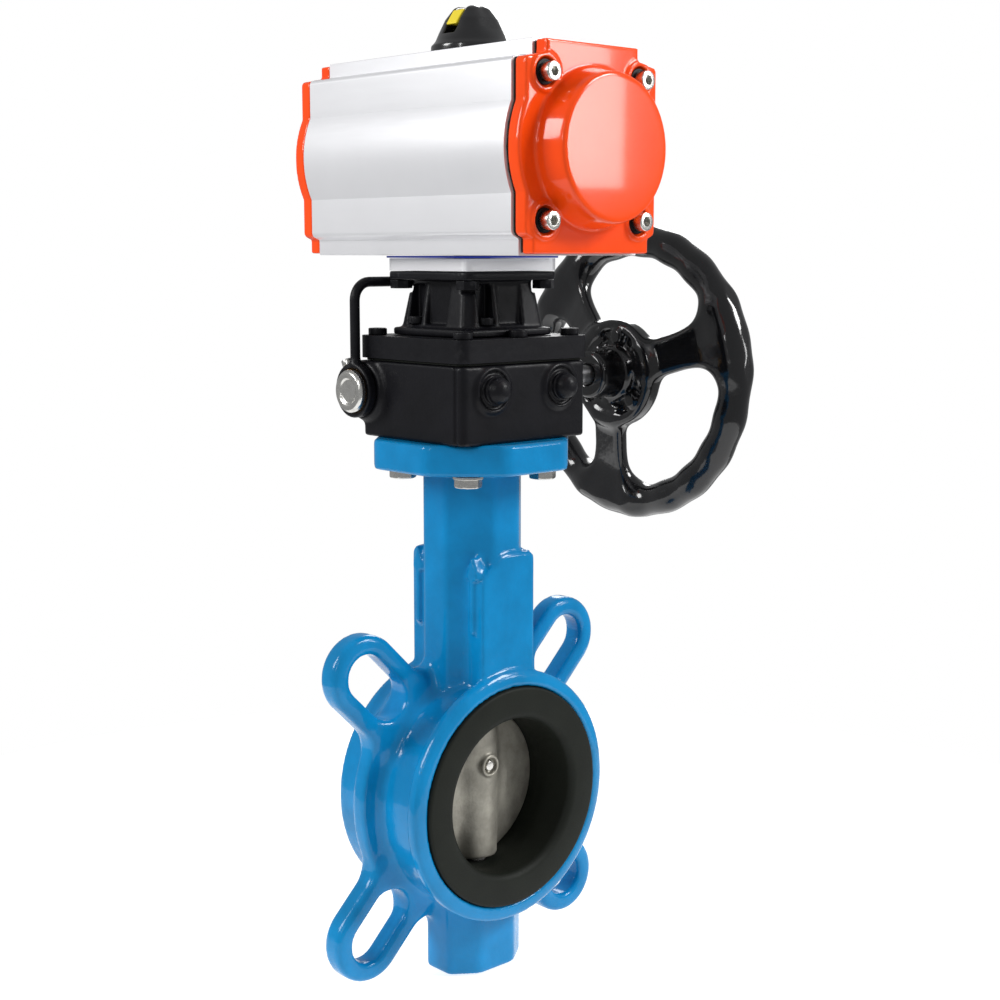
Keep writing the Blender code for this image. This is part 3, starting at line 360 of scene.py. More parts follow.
def both(side, end, edge=0.0):
    """The overlap of two distances that are at right angles, with rounded outer edges."""
    side = side + edge
    end = end + edge
    outside = np.hypot(np.maximum(side, 0), np.maximum(end, 0))
    return np.minimum(np.maximum(side, end), 0) + outside - edge


def joined(a, b, fillet=0.01):
    share = np.clip(0.5 + 0.5 * (b - a) / fillet, 0, 1)
    return b + (a - b) * share - fillet * share * (1 - share)


def overlap(a, b, edge=0.01):
    return -joined(-a, -b, edge)


def without(a, b, edge=0.01):
    return overlap(a, -b, edge)


def box_field(p, x, y, z, edge=0.0):
    flat = both(span(p[0], *x), span(p[1], *y), edge)
    return both(flat, span(p[2], *z), edge)


def across(p, axis, centre):
    """The two coordinates across an axis, from a centre."""
    u, v = [i for i in range(3) if i != axis]
    return p[u] - centre[u], p[v] - centre[v]


def round_field(p, axis, centre, radius, ends, edge=0.0):
    """A cylinder along axis 0, 1 or 2."""
    return both(np.hypot(*across(p, axis, centre)) - radius, span(p[axis], *ends), edge)


def drilled(field, p, axis, centre, radius, ends, edge=0.01):
    """A field with a round hole in it."""
    return without(field, round_field(p, axis, centre, radius, ends), edge)


def ring_field(p, axis, centre, outer, inner, ends, edge=0.0):
    reach = np.hypot(*across(p, axis, centre))
    return both(span(reach, inner, outer), span(p[axis], *ends), edge)


def octagon_field(u, v, half_u, half_v, corner, edge):
    """Flat sides at half_u and half_v and a corner face at that distance along the diagonal."""
    sides = overlap(np.abs(u) - half_u, np.abs(v) - half_v, edge)
    slope = Vector((half_v, half_u)).normalized()
    return overlap(sides, np.abs(u) * slope.x + np.abs(v) * slope.y - corner, edge)


def polygon_field(u, v, points):
    """Signed distance to a closed outline."""
    nearest = None
    winding = 1.0
    for (au, av), (bu, bv) in zip(points, points[1:] + points[:1]):
        eu, ev = bu - au, bv - av
        wu, wv = u - au, v - av
        share = np.clip((wu * eu + wv * ev) / (eu * eu + ev * ev), 0, 1)
        away = np.hypot(wu - eu * share, wv - ev * share)
        nearest = away if nearest is None else np.minimum(nearest, away)
        above, below = v >= av, v < bv
        left = eu * wv > ev * wu
        flip = (above & below & left) | (~above & ~below & ~left)
        winding = np.where(flip, -winding, winding)
    return nearest * winding


def wire_field(p, points, radius):
    """A round bar along a list of points."""
    nearest = None
    for a, b in zip(points, points[1:]):
        e = [b[i] - a[i] for i in range(3)]
        w = [p[i] - a[i] for i in range(3)]
        share = sum(w[i] * e[i] for i in range(3)) / sum(c * c for c in e)
        share = np.clip(share, 0, 1)
        away = np.sqrt(sum((w[i] - e[i] * share) ** 2 for i in range(3)))
        nearest = away if nearest is None else np.minimum(nearest, away)
    return nearest - radius


def skin(name, p, distance):
    """The zero surface of a distance field, as surface nets: a vertex in each mixed cell."""
    lines = [line.ravel() for line in p]
    step = float(lines[0][1] - lines[0][0])
    low = np.array([line[0] for line in lines], dtype=float)
    inside = distance < 0
    cells_in = [n - 1 for n in distance.shape]
    offsets = [(i, j, k) for i in (0, 1) for j in (0, 1) for k in (0, 1)]
    count = np.zeros(cells_in, np.uint8)
    for i, j, k in offsets:
        count += inside[i:i + cells_in[0], j:j + cells_in[1], k:k + cells_in[2]]
    cells = np.argwhere((count > 0) & (count < 8))
    number = np.zeros(cells_in, np.int32)
    number[tuple(cells.T)] = np.arange(len(cells))
    total = np.zeros((len(cells), 3))
    hits = np.zeros(len(cells))
    for offset in offsets:
        for axis in range(3):
            if offset[axis]:
                continue
            other = list(offset)
            other[axis] = 1
            a = distance[tuple((cells + offset).T)]
            b = distance[tuple((cells + other).T)]
            crossing = (a < 0) != (b < 0)
            share = np.where(crossing, a / np.where(crossing, a - b, 1), 0)
            point = np.array(offset, float) + share[:, None] * np.eye(3)[axis]
            total += point * crossing[:, None]
            hits += crossing
    points = ((cells + total / hits[:, None]) * step + low) * MM
    faces = []
    for axis in range(3):
        u, v = np.eye(3, dtype=int)[(axis + 1) % 3], np.eye(3, dtype=int)[(axis + 2) % 3]
        first = np.take(inside, range(distance.shape[axis] - 1), axis)
        second = np.take(inside, range(1, distance.shape[axis]), axis)
        edges = np.argwhere(first != second)
        quads = np.stack([number[tuple((edges - d).T)] for d in (u + v, v, 0 * u, u)], axis=1)
        outward = first[tuple(edges.T)]
        quads[~outward] = quads[~outward][:, ::-1]
        faces.append(quads)
    mesh = bpy.data.meshes.new(name)
    mesh.from_pydata(points.tolist(), [], np.concatenate(faces).tolist())
    mesh.shade_smooth()
    piece = new_object(name, mesh)
    smooth = piece.modifiers.new("smooth", "SMOOTH")
    smooth.factor = 0.5
    smooth.iterations = 2
    return new_object(name, evaluated(piece))


# ------------------------------ turned and extruded shapes

AXES = {
    "X": Matrix(((0, 0, 1, 0), (1, 0, 0, 0), (0, 1, 0, 0), (0, 0, 0, 1))),
    "Y": Matrix(((0, 1, 0, 0), (0, 0, 1, 0), (1, 0, 0, 0), (0, 0, 0, 1))),
    "Z": Matrix.Identity(4),
}


def place_at(x=0.0, y=0.0, z=0.0):
    return Matrix.Translation(Vector((x, y, z)) * MM)


def arc(centre, radius, start, end, steps):
    angles = [radians(start + (end - start) * i / steps) for i in range(steps + 1)]
    return [(centre[0] + radius * cos(a), centre[1] + radius * sin(a)) for a in angles]


def hexagon(radius, centre=(0, 0)):
    return arc(centre, radius, 0, 300, 5)


def hole(radius, centre=(0, 0), sides=24):
    """A round outline that runs the other way, for a hole."""
    steps = sides - 1
    return arc(centre, radius, 0, -360 * steps / sides, steps)


def rod(radius, low, high):
    """The profile of a solid cylinder, for turned."""
    return [(0, high), (radius, high), (radius, low), (0, low)]


def ring(outer, inner, low, high):
    """The closed profile of a ring, for turned."""
    return [(outer, high), (outer, low), (inner, low), (inner, high)]


def softened(points, radius, closed=True, steps=4):
    """An outline whose corners are rounded."""
    result = []
    count = len(points)
    for i, point in enumerate(points):
        if not closed and i in (0, count - 1):
            result.append(point)
            continue
        here = Vector(point)
        before = Vector(points[i - 1]) - here
        after = Vector(points[(i + 1) % count]) - here
        reach = min(radius, before.length * 0.45, after.length * 0.45)
        a = here + before.normalized() * reach
        b = here + after.normalized() * reach
        for k in range(steps + 1):
            t = k / steps
            result.append(tuple(a * (1 - t) ** 2 + here * (2 * t * (1 - t)) + b * t * t))
    return result


def turned(name, axis, centre, profile, sides=96, edge=0.4, closed=False):
    """A profile of (radius, place along the axis), its corners softened, turned all round."""
    points = softened(profile, edge, closed, 3)
    mesh = bpy.data.meshes.new(name)
    links = [(i, i + 1) for i in range(len(points) - 1)]
    if closed:
        links.append((len(points) - 1, 0))
    mesh.from_pydata([(r * MM, 0, a * MM) for r, a in points], links, [])
    piece = new_object(name, mesh)
    screw = piece.modifiers.new("turn", "SCREW")
    screw.steps = sides
    screw.render_steps = sides
    screw.use_merge_vertices = True
    screw.merge_threshold = 0.000002
    bm = bmesh.new()
    bm.from_mesh(evaluated(piece))
    return from_bmesh(name, bm, place_at(*centre) @ AXES[axis])


def from_bmesh(name, bm, matrix):
    bmesh.ops.transform(bm, matrix=matrix, verts=bm.verts)
    bmesh.ops.recalc_face_normals(bm, faces=bm.faces)
    mesh = bpy.data.meshes.new(name)
    bm.to_mesh(mesh)
    bm.free()
    mesh.shade_smooth()
    mesh.set_sharp_from_angle(angle=radians(40))
    return new_object(name, mesh)


def extruded(name, axis, ends, *outlines):
    """Flat outlines, later ones holes: (Y, Z) along X, (Z, X) along Y and (X, Y) along Z."""
    curve = bpy.data.curves.new(name, "CURVE")
    curve.dimensions = "2D"
    curve.fill_mode = "BOTH"
    curve.extrude = (ends[1] - ends[0]) * MM / 2
    for outline in outlines:
        spline = curve.splines.new("POLY")
        spline.points.add(len(outline) - 1)
        spline.use_cyclic_u = True
        for point, (u, v) in zip(spline.points, outline):
            point.co = (u * MM, v * MM, 0, 1)
    bm = bmesh.new()
    bm.from_mesh(evaluated(new_object(name, curve)))
    bmesh.ops.remove_doubles(bm, verts=bm.verts, dist=0.000001)
    return from_bmesh(name, bm, AXES[axis] @ place_at(z=(ends[0] + ends[1]) / 2))


def cut(piece, *tools):
    return boolean(piece, "DIFFERENCE", tools)


def boolean(piece, operation, tools):
    for tool in tools:
        modifier = piece.modifiers.new("cut", "BOOLEAN")
        modifier.operation = operation
        modifier.object = tool
    mesh = evaluated(piece)
    for tool in tools:
        bpy.data.objects.remove(tool)
    return new_object("cut", mesh)


def bevelled(piece, width, segments=2):
    modifier = piece.modifiers.new("edges", "BEVEL")
    modifier.width = width * MM
    modifier.segments = segments
    modifier.limit_method = "ANGLE"
    modifier.angle_limit = radians(40)
    piece.modifiers.new("shading", "WEIGHTED_NORMAL").weight = 100
    piece.data.shade_smooth()
    return new_object("bevelled", evaluated(piece))


def even_shading(piece, limit=12):
    """Average each corner's normal over the faces there that turn less than the limit.

    Flats stay flat and arcs smooth, also where ports and bosses interrupt long facets.
    """
    mesh = piece.data
    faces_at = [[] for _ in mesh.vertices]
    for face in mesh.polygons:
        for index in face.vertices:
            faces_at[index].append(face.normal.copy())
    least = np.cos(radians(limit))
    normals = []
    for face in mesh.polygons:
        own = face.normal
        for index in face.vertices:
            near = [other for other in faces_at[index] if other.dot(own) > least]
            normals.append(sum(near, Vector()).normalized())
    mesh.shade_smooth()
    mesh.normals_split_custom_set(normals)
    return piece


def square(half, radius, centre=(0, 0), half_v=None):
    """A square or oblong outline with round corners."""
    v = half if half_v is None else half_v
    cx, cy = centre
    points = [(cx + half, cy - v), (cx + half, cy + v), (cx - half, cy + v), (cx - half, cy - v)]
    return softened(points, radius, steps=8)


# ------------------------------ valve

def make_valve_body():
    """One casting: barrel with two rims, web ring, four slotted ears, neck, cheeks, flange, foot."""
    p = grid(BODY_LOW, BODY_HIGH, 1.24)
    x, y, z = p
    face = BODY_FACE
    reach = np.hypot(y, z)
    body = both(reach - BARREL_R, span(x, -face, face), 1.0)
    for ends in ((face - 7, face), (-face, -6)):
        body = joined(body, both(reach - RIM_R, span(x, *ends), 2.0), 3)
    body = joined(body, both(reach - WEB_R, span(x, *WEB_X), 1.5), 7)
    out = (np.abs(y) + np.abs(z)) / sqrt(2)
    side_way = (np.abs(y) - np.abs(z)) / sqrt(2)
    ear = np.hypot(out - np.clip(out, *EAR_OUT), side_way) - EAR_HALF
    body = joined(body, both(ear, span(x, *EAR_X), 3.5), 9)
    neck = both(octagon_field(x, y, *NECK_HALF, 1.2), span(z, NECK_FOOT_Z, FLANGE_Z[0] + 7))
    body = joined(body, neck, 5)
    for side in (-1, 1):
        cheek = both(span(y, -CHEEK_HALF_Y, CHEEK_HALF_Y), span(z, *CHEEK_Z), 4)
        if side > 0:
            slanted_top = 0.776 * z - 0.632 * y - 98
            cheek = overlap(cheek, slanted_top, 3)
        body = joined(body, both(cheek, span(side * x, *CHEEK_X), 1.2), 2.5)
    rib_half = np.where(z > RIB_Z[1] - 12, np.clip(RIB_Z[1] - z, 0, 9) * 0.42, 1.7)
    rib = both(np.abs(np.abs(x) - RIB_X) - rib_half, span(np.abs(y), 13, 19.6), 0.6)
    body = joined(body, both(rib, span(z, *RIB_Z), 0.6), 1.5)
    flange = octagon_field(x, y, FLANGE_HALF, FLANGE_HALF, FLANGE_HALF, 3)
    flange = both(flange, span(z, *FLANGE_Z), 1.4)
    body = joined(body, flange, 4)
    foot = both(octagon_field(x, y, *FOOT_HALF, 1.5), span(z, *FOOT_Z), 2.0)
    body = joined(body, foot, 6)
    slot = np.hypot(out - np.clip(out, *SLOT_OUT), side_way) - SLOT_HALF
    body = without(body, slot, 3)
    gap = 0.3
    lip = SEAT_HIGH.x - SEAT_LIP - gap
    seat = both(reach - SEAT_HIGH.y - gap, lip - np.abs(x))
    seat = np.minimum(reach - SEAT_TUBE_R - gap, seat)
    body = without(body, seat, 0.8)
    body = drilled(body, p, 2, (0, 0, 0), 10.3, (-86, 190))
    for cx, cy in FLANGE_CORNERS:
        body = drilled(body, p, 2, (cx, cy, 0), BOLT_HOLE_R, (150, 190))
    stand_for(skin("body", p, body), "valve_body")


def make_seat_liner():
    """The rubber seat: a tube with a flange on each face, its mouths rounded."""
    out_r = SEAT_HIGH.y
    bore = SEAT_BORE_R
    face = SEAT_HIGH.x
    lip = face - SEAT_LIP
    profile = [(out_r, face), (out_r, lip), (SEAT_TUBE_R, lip), (SEAT_TUBE_R, -lip),
               (out_r, -lip), (out_r, -face), (bore + 2.6, -face), (bore, 2.6 - face),
               (bore + 0.6, -9), (bore, -6), (bore, 6), (bore + 0.6, 9),
               (bore, face - 2.6), (bore + 2.6, face)]
    seat = turned("seat", "X", (0, 0, 0), profile, 160, 1.6, closed=True)
    seat = cut(seat, turned("way", "Z", (0, 0, 0), rod(STEM_HOLE_R, -70, 70), 48, 0.01))
    seat.data.set_sharp_from_angle(angle=0.7)
    stand_for(seat, "seat_liner", "_moulded")


def make_disc():
    """The cast disc with its stem hub, pin boss and machined edge."""
    p = grid(DISC_LOW, DISC_HIGH, 0.7)
    x, y, z = p
    reach = np.hypot(y, z)
    radius = DISC_HIGH.y
    thick = np.interp(reach, (0, 20, radius - 5, radius), (4.6, 4.2, 2.5, 1.3))
    disc = both(reach - radius, np.abs(x) - thick, 0.5)
    disc = joined(disc, round_field(p, 2, (0, 0, 0), 12, (-37, 37), 1.2), 5)
    boss = round_field(p, 0, (0, 0, DISC_PIN_Z), 5.6, (-14, 14), 0.6)
    disc = joined(disc, boss, 2)
    disc = drilled(disc, p, 2, (0, 0, 0), STEM_HOLE_R, (-50, 50))
    disc = drilled(disc, p, 0, (0, 0, DISC_PIN_Z), PIN_HOLE_R, (-20, 20), 0.5)
    for ends in ((11, 20), (-20, -11)):
        disc = drilled(disc, p, 0, (0, 0, DISC_PIN_Z), 4.1, ends, 0.5)
    stand_for(skin("disc", p, disc), "valve_disc", "_cast")
    half = corners("disc_pin")[1].x
    pin = turned("pin", "X", (0, 0, DISC_PIN_Z), rod(PIN_HOLE_R - 0.3, -half, half), 40, 0.5)
    stand_for(pin, "disc_pin")


def make_flange_bolts():
    """Hexagon bolts with chamfered heads, and their washers."""
    low, high = corners("valve_flange_bolt_1")
    p = grid((-7, -7, 0), (7, 7, high.z - low.z), 0.35)
    x, y, z = p
    flats = np.maximum(np.abs(y), np.abs(x) * sqrt(3) / 2 + np.abs(y) / 2) - 6
    crown = np.hypot(x, y) - 6.2 - z * 1.2
    bolt = overlap(both(flats, span(z, 0, BOLT_HEAD), 0.2), crown, 0.3)
    bolt = joined(bolt, round_field(p, 2, (0, 0, 0), 3.95, (2, high.z - low.z), 0.4))
    master = skin("bolt", p, bolt)
    profile = ring(7.6, 4.2, -0.8, 0.6)
    washer = turned("washer", "Z", (0, 0, 0), profile, 48, 0.25, closed=True)
    for k in range(1, 5):
        low, high = corners(f"valve_flange_bolt_{k}")
        at = ((low.x + high.x) / 2, (low.y + high.y) / 2)
        stand_for(copied(master, place_at(*at, low.z)), f"valve_flange_bolt_{k}")
        seat = copied(washer, place_at(*at, low.z + BOLT_HEAD + 0.8))
        extra(seat, f"valve_flange_washer_{k}", "stainless", "housing")
    bpy.data.objects.remove(master)
    bpy.data.objects.remove(washer)


# ------------------------------ gearbox

def make_housing():
    """The gearbox casting: box, worm tunnel, stop bolt bosses and the hollow inside."""
    p = grid(BOX_LOW, BOX_HIGH, 0.85)
    x, y, z = p
    half = BOX_HALF_Y
    top = BOX_HIGH.z
    low = BOX_LOW.z
    box = both(both(span(x, *BOX_X), span(y, -half, half), 4), span(z, low, top + 1), 0.8)
    tunnel = round_field(p, 1, (BUSH_X, 0, WORM_Z), TUNNEL_R, (-43.5, 43.5), 1)
    box = joined(box, tunnel, 4)
    for side in (-1, 1):
        centre = (0, side * STOP_Y, STOP_Z)
        box = joined(box, round_field(p, 0, centre, 11, (30, 41), 1.2), 2.5)
        box = without(box, ring_field(p, 0, centre, 9.3, 7.4, (39.6, 45)), 0.4)
        box = drilled(box, p, 0, centre, STOP_HOLE_R, (8, 50))
    seam = both(span(np.abs(y), half - 1.2, half + 3), span(x, 33.2, 34.6))
    box = without(box, seam, 0.5)
    box = drilled(box, p, 2, (0, 0, 0), 27.6, (190, top + 9), 0.5)
    box = drilled(box, p, 1, (BUSH_X, 0, WORM_Z), BUSH_HOLE_R, (-60, 60), 0.4)
    box = drilled(box, p, 2, (0, 0, 0), SLEEVE_HOLE_R, (low - 9, 195))
    for cx, cy in FLANGE_CORNERS:
        box = drilled(box, p, 2, (cx, cy, 0), BOLT_HOLE_R, (low - 9, 189.6))
    box = overlap(box, z - top + 0 * x, 0.3)
    stand_for(skin("housing", p, box), "gearbox_housing", "_cast")


def make_cover():
    """The cover plate with bevelled edges, and its screws."""
    half_x = (COVER_HIGH.x - COVER_LOW.x) / 2
    centre = ((COVER_HIGH.x + COVER_LOW.x) / 2, 0)
    outline = square(half_x, 6, centre, COVER_HIGH.y)
    window = hole(SLEEVE_HOLE_R, sides=48)
    cover = extruded("cover", "Z", (COVER_LOW.z, COVER_HIGH.z), outline, window)
    stand_for(bevelled(cover, 1.3, 3), "gearbox_cover")
    for k, (x, y) in enumerate(COVER_SCREWS, 1):
        screw = socket_head("cover_screw", rod(4.6, 0, 3.4), 2.3)
        screw.matrix_world = place_at(x, y, COVER_HIGH.z)
        extra(screw, f"cover_screw_{k}", "black_paint", "housing")


def socket_head(name, profile, socket_r):
    """A turned screw head with a hexagon socket, along +Z."""
    head = turned(name, "Z", (0, 0, 0), profile, 40, 0.5)
    top = max(place for _, place in profile)
    socket = extruded("socket", "Z", (top * 0.15, top + 1), hexagon(socket_r))
    return sharpened(cut(head, socket))


def sharpened(piece):
    piece.data.shade_smooth()
    piece.data.set_sharp_from_angle(angle=radians(35))
    return piece


def make_stop_bolts():
    """Domed stop bolts on a round collar."""
    for k in (1, 2):
        low, high = corners(f"stop_bolt_{k}")
        tip = high.x
        y = (low.y + high.y) / 2
        base = tip - 7.7
        profile = [(0, tip), (2.6, tip - 0.3), (5, tip - 2), (6.4, tip - 4.4), (6.5, base + 1.6),
                   (7, base + 1.2), (7, base), (3.9, base), (3.9, low.x), (0, low.x)]
        bolt = turned("stop", "X", (0, y, STOP_Z), profile, 64, 0.7)
        stand_for(bolt, f"stop_bolt_{k}")


def make_lever():
    """The declutch bail: a bent rod welded to two eye rings round the eccentric bushes."""
    low, high = corners("declutch_lever")
    y = high.y - LEVER_ROD_R
    p = grid(low, high, 0.6)
    top = high.z - LEVER_ROD_R
    bend = LEVER_BEND_R
    corner = [(BUSH_X, a, b) for a, b in arc((y - bend, top - bend), bend, 0, 90, 8)]
    right = [(BUSH_X, y, WORM_Z + 12)] + corner
    path = right + [(a, -b, c) for a, b, c in reversed(right)]
    lever = wire_field(p, path, LEVER_ROD_R)
    for side in (-1, 1):
        ends = sorted((side * 44.3, side * 49.3))
        eye = round_field(p, 1, (BUSH_X, 0, WORM_Z), 13.5, ends, 0.8)
        lever = joined(lever, eye, 3)
    lever = drilled(lever, p, 1, (BUSH_X, 0, WORM_Z), BUSH_HOLE_R, (-60, 60), 0.5)
    stand_for(skin("lever", p, lever), "declutch_lever", "_bent")


def make_worm_ends():
    """The two eccentric bushes, and the polished cap on the end away from the handwheel."""
    for name, side in (("front", -1), ("rear", 1)):
        make_bush("eccentric_bush_" + name, sorted((side * 16.5, side * 50.5)))
    front = -corners("worm_end_cap")[0].y
    profile = [(0, front - 1.0), (5.5, front - 1.0), (6.6, front - 0.2), (7.4, front), (9.2, front),
               (BUSH_R, front - 1.2), (BUSH_R, 50.9), (0, 50.9)]
    cap = turned("cap", "Y", (WORM_X, 0, WORM_Z), [(r, -a) for r, a in profile], 72, 0.5)
    stand_for(cap, "worm_end_cap")


def make_lever_screws():
    """A set screw in each eye of the bail, leaning to -X."""
    y = corners("declutch_lever")[1].y - LEVER_ROD_R
    turn = Matrix.Rotation(radians(-25), 4, "Y")
    for side in (-1, 1):
        screw = socket_head("lever_screw", rod(3, 0, 3.2), 1.5)
        screw.matrix_world = place_at(BUSH_X, side * y, WORM_Z) @ turn @ place_at(z=13)
        name = "lever_set_screw_rear" if side > 0 else "lever_set_screw_front"
        extra(screw, name, "stainless", "declutch")


def make_bush(node, ends):
    """A bronze bush whose bore lies off its centre by the worm's eccentric throw."""
    bush = turned("bush", "Y", (BUSH_X, 0, WORM_Z), rod(BUSH_R, *ends), 64, 0.6)
    bore = turned("bore", "Y", (WORM_X, 0, WORM_Z), rod(WORM_HOLE_R, -60, 60), 48, 0.01)
    stand_for(sharpened(cut(bush, bore)), node)


def make_worm_shaft():
    """Journals and a single-start right-hand thread, one surface whose radius follows the thread."""
    sides = 48
    rows = 240
    thread_end = 13.35
    low, high = corners("worm_shaft")
    journal_r, stud_r, groove_r = 5.5, 4.0, 3.6
    stations = [(low.y, 0.0), (low.y, 5.0), (low.y + 0.5, journal_r),
                (-thread_end - 0.2, journal_r)]
    stations += [(-thread_end + 2 * thread_end * i / rows, None) for i in range(rows + 1)]
    neck = high.y - 9.7
    stations += [(thread_end + 0.2, journal_r), (neck, journal_r), (neck + 0.01, stud_r)]
    for k in range(12):
        start = neck + 0.8 * k
        stations += [(start + 0.4, stud_r), (start + 0.7, groove_r)]
    stations += [(high.y - 0.4, stud_r), (high.y, stud_r - 0.5), (high.y, 0.0)]
    bm = bmesh.new()
    rings = []
    for along, fixed in stations:
        row = []
        for k in range(sides):
            angle = 2 * pi * k / sides
            radius = worm_radius(angle - pi / 2, along) if fixed is None else max(fixed, 0.01)
            place = (WORM_X + radius * sin(angle), along, WORM_Z + radius * cos(angle))
            row.append(bm.verts.new(Vector(place) * MM))
        rings.append(row)
    for row, after in zip(rings, rings[1:]):
        for k in range(sides):
            n = (k + 1) % sides
            bm.faces.new((row[k], row[n], after[n], after[k]))
    bm.faces.new(rings[0])
    bm.faces.new(rings[-1])
    stand_for(from_bmesh("shaft", bm, Matrix.Identity(4)), "worm_shaft")


def worm_radius(angle, along):
    """Thread form: 1.25 module on a 6 mm pitch radius, with 20 degree flanks."""
    module, pitch_r = 1.25, 6.0
    lead = pi * module
    root, tip = pitch_r - 1.5, pitch_r + module
    slope = sin(radians(20)) / cos(radians(20))
    flank = (tip - root) * slope
    away = abs((along / lead - angle / (2 * pi)) % 1.0 - 0.5) * lead
    tip_half = 0.8 - module * slope
    return tip if away < tip_half else max(root, tip - (away - tip_half) / flank * (tip - root))


def make_handwheel():
    """The cast wheel: rim with finger waves, three flared spokes, dished hub and long boss."""
    p = grid(WHEEL_LOW, WHEEL_HIGH, 0.95)
    x, y, z = p
    u, w = x - WORM_X, z - WORM_Z
    reach = np.hypot(u, w)
    rim_y = WHEEL_HIGH.y - RIM_TUBE_R
    angle = np.arctan2(w, u)
    waves = 0.35 * (1 - np.cos(21 * angle))
    rim = np.hypot(reach - RIM_CENTRE_R, (y - rim_y) * 1.04) - RIM_TUBE_R + 0.1 + waves
    hub = both(reach - 30, span(y, *HUB_Y), 3)
    hub = without(hub, both(span(reach, 15.5, 24), y - 134), 2)
    hub = joined(hub, both(reach - 13, span(y, WHEEL_LOW.y, 146), 1.5), 3)
    wheel = hub
    for degrees in SPOKE_ANGLES:
        c, s = cos(radians(degrees)), sin(radians(degrees))
        along = u * c + w * s
        aside = w * c - u * s
        rise = (rim_y - 1.5 - SPOKE_Y) * np.clip((along - 22) / 50, 0, 1)
        flat = (np.abs(y - SPOKE_Y - rise) - 4.3) * 0.96
        width = np.abs(aside) - 10.5 - np.clip((along - 42) / 26, 0, 1) ** 2 * 8
        spoke = both(both(width, flat, 3.5), span(along, 18, RIM_CENTRE_R))
        wheel = joined(wheel, spoke, 6)
        between = radians(degrees + 60)
        boss = np.hypot(u - 21 * cos(between), w - 21 * sin(between))
        wheel = joined(wheel, both(boss - 4.2, span(y, 129.5, 139), 1.0), 2.5)
    wheel = joined(wheel, rim, 14)
    wheel = np.maximum(wheel, reach - RIM_CENTRE_R - RIM_TUBE_R + 0.1)
    wheel = np.maximum(wheel, y - WHEEL_HIGH.y + 0.1)
    wheel = drilled(wheel, p, 1, (WORM_X, 0, WORM_Z), WORM_HOLE_R, (100, 180), 0.5)
    stand_for(skin("wheel", p, wheel), "handwheel", "_cast")


def make_handwheel_nut():
    """The hexagon nut, turned like the CAD's, with a crowned outer face."""
    low, high = corners("handwheel_nut")
    q = grid(low, high, 0.35)
    a, b = np.abs(q[0] - WORM_X), np.abs(q[2] - WORM_Z)
    flats = np.maximum(a, a / 2 + b * sqrt(3) / 2) - 6.5
    if high.x - low.x > high.z - low.z:
        flats = np.maximum(b, b / 2 + a * sqrt(3) / 2) - 6.5
    crown = np.hypot(a, b) - 6.7 - (high.y - q[1]) * 1.2
    nut = overlap(both(flats, span(q[1], low.y, high.y), 0.2), crown, 0.3)
    nut = drilled(nut, q, 1, (WORM_X, 0, WORM_Z), 4.3, (140, 170), 0.3)
    stand_for(skin("nut", q, nut), "handwheel_nut")


# ------------------------------ spool and adapter

def make_spool():
    """The cast spool: base plate, tapered ribbed tower and top flange."""
    p = grid(SPOOL_LOW, SPOOL_HIGH, 0.7)
    x, y, z = p
    low, high = SPOOL_LOW.z, SPOOL_HIGH.z
    flange_low = high - SPOOL_FLANGE
    foot_half, top_half = SPOOL_HALF
    taper = np.clip((z - low - 1) / (flange_low - low), 0, 1)
    half = foot_half - (foot_half - top_half) * taper
    tower = octagon_field(x / half, y / half, 1, 1, 1.30, 0.04) * 24
    tower = both(tower, span(z, low + 1, high - 1))
    for a, b in ((x, y), (y, -x), (-x, -y), (-y, x)):
        for start, end, inner in ((-18, -8.5, 19), (-5, 10, 22.6)):
            pocket = both(span(b, start, end), inner - a)
            pocket = both(pocket, span(z, low + 5.5, flange_low - 2))
            tower = without(tower, pocket, 1.0)
    base = both(both(span(x, -29, 29), span(y, -29, 29), 5), span(z, low, low + 3.5), 0.6)
    rim = both(both(span(x, -30, 30), span(y, -30, 30), 4), span(z, flange_low, high), 0.6)
    spool = joined(joined(base, tower, 2), rim, 2)
    for cx, cy in FLANGE_CORNERS:
        clear = round_field(p, 2, (cx, cy, 0), 6.6, (flange_low - 6, flange_low))
        spool = without(spool, clear, 0.4)
    spool = drilled(spool, p, 2, (0, 0, 0), 14, (200, 290))
    stand_for(skin("spool", p, spool), "mounting_spool", "_cast")
    out, along = 24.3, 13.2
    places = ((out, -along), (along, out), (-out, along), (-along, -out))
    for k, at in enumerate(places, 1):
        screw = socket_head("spool_screw", rod(3.9, 0, 3.6), 2.0)
        screw.matrix_world = place_at(*at, low + 5.5)
        extra(screw, f"spool_screw_{k}", "black_paint", "housing")
    for k, at in enumerate(FLANGE_CORNERS, 1):
        bolt = bevelled(extruded("bolt", "Z", (-SPOOL_FLANGE, 0), hexagon(5.6)), 0.4)
        bolt.matrix_world = place_at(*at, flange_low)
        extra(bolt, f"actuator_bolt_{k}", "black_paint", "housing")


def plate(name, node, edge):
    """A square plate with a round window and four screw holes."""
    low, high = corners(node)
    holes = [hole(WINDOW_R, sides=48)] + [hole(PLATE_HOLE_R, at) for at in FLANGE_CORNERS]
    piece = extruded(name, "Z", (low.z, high.z), square(high.x, 4.5), *holes)
    stand_for(bevelled(piece, edge), node)


# ------------------------------ actuator

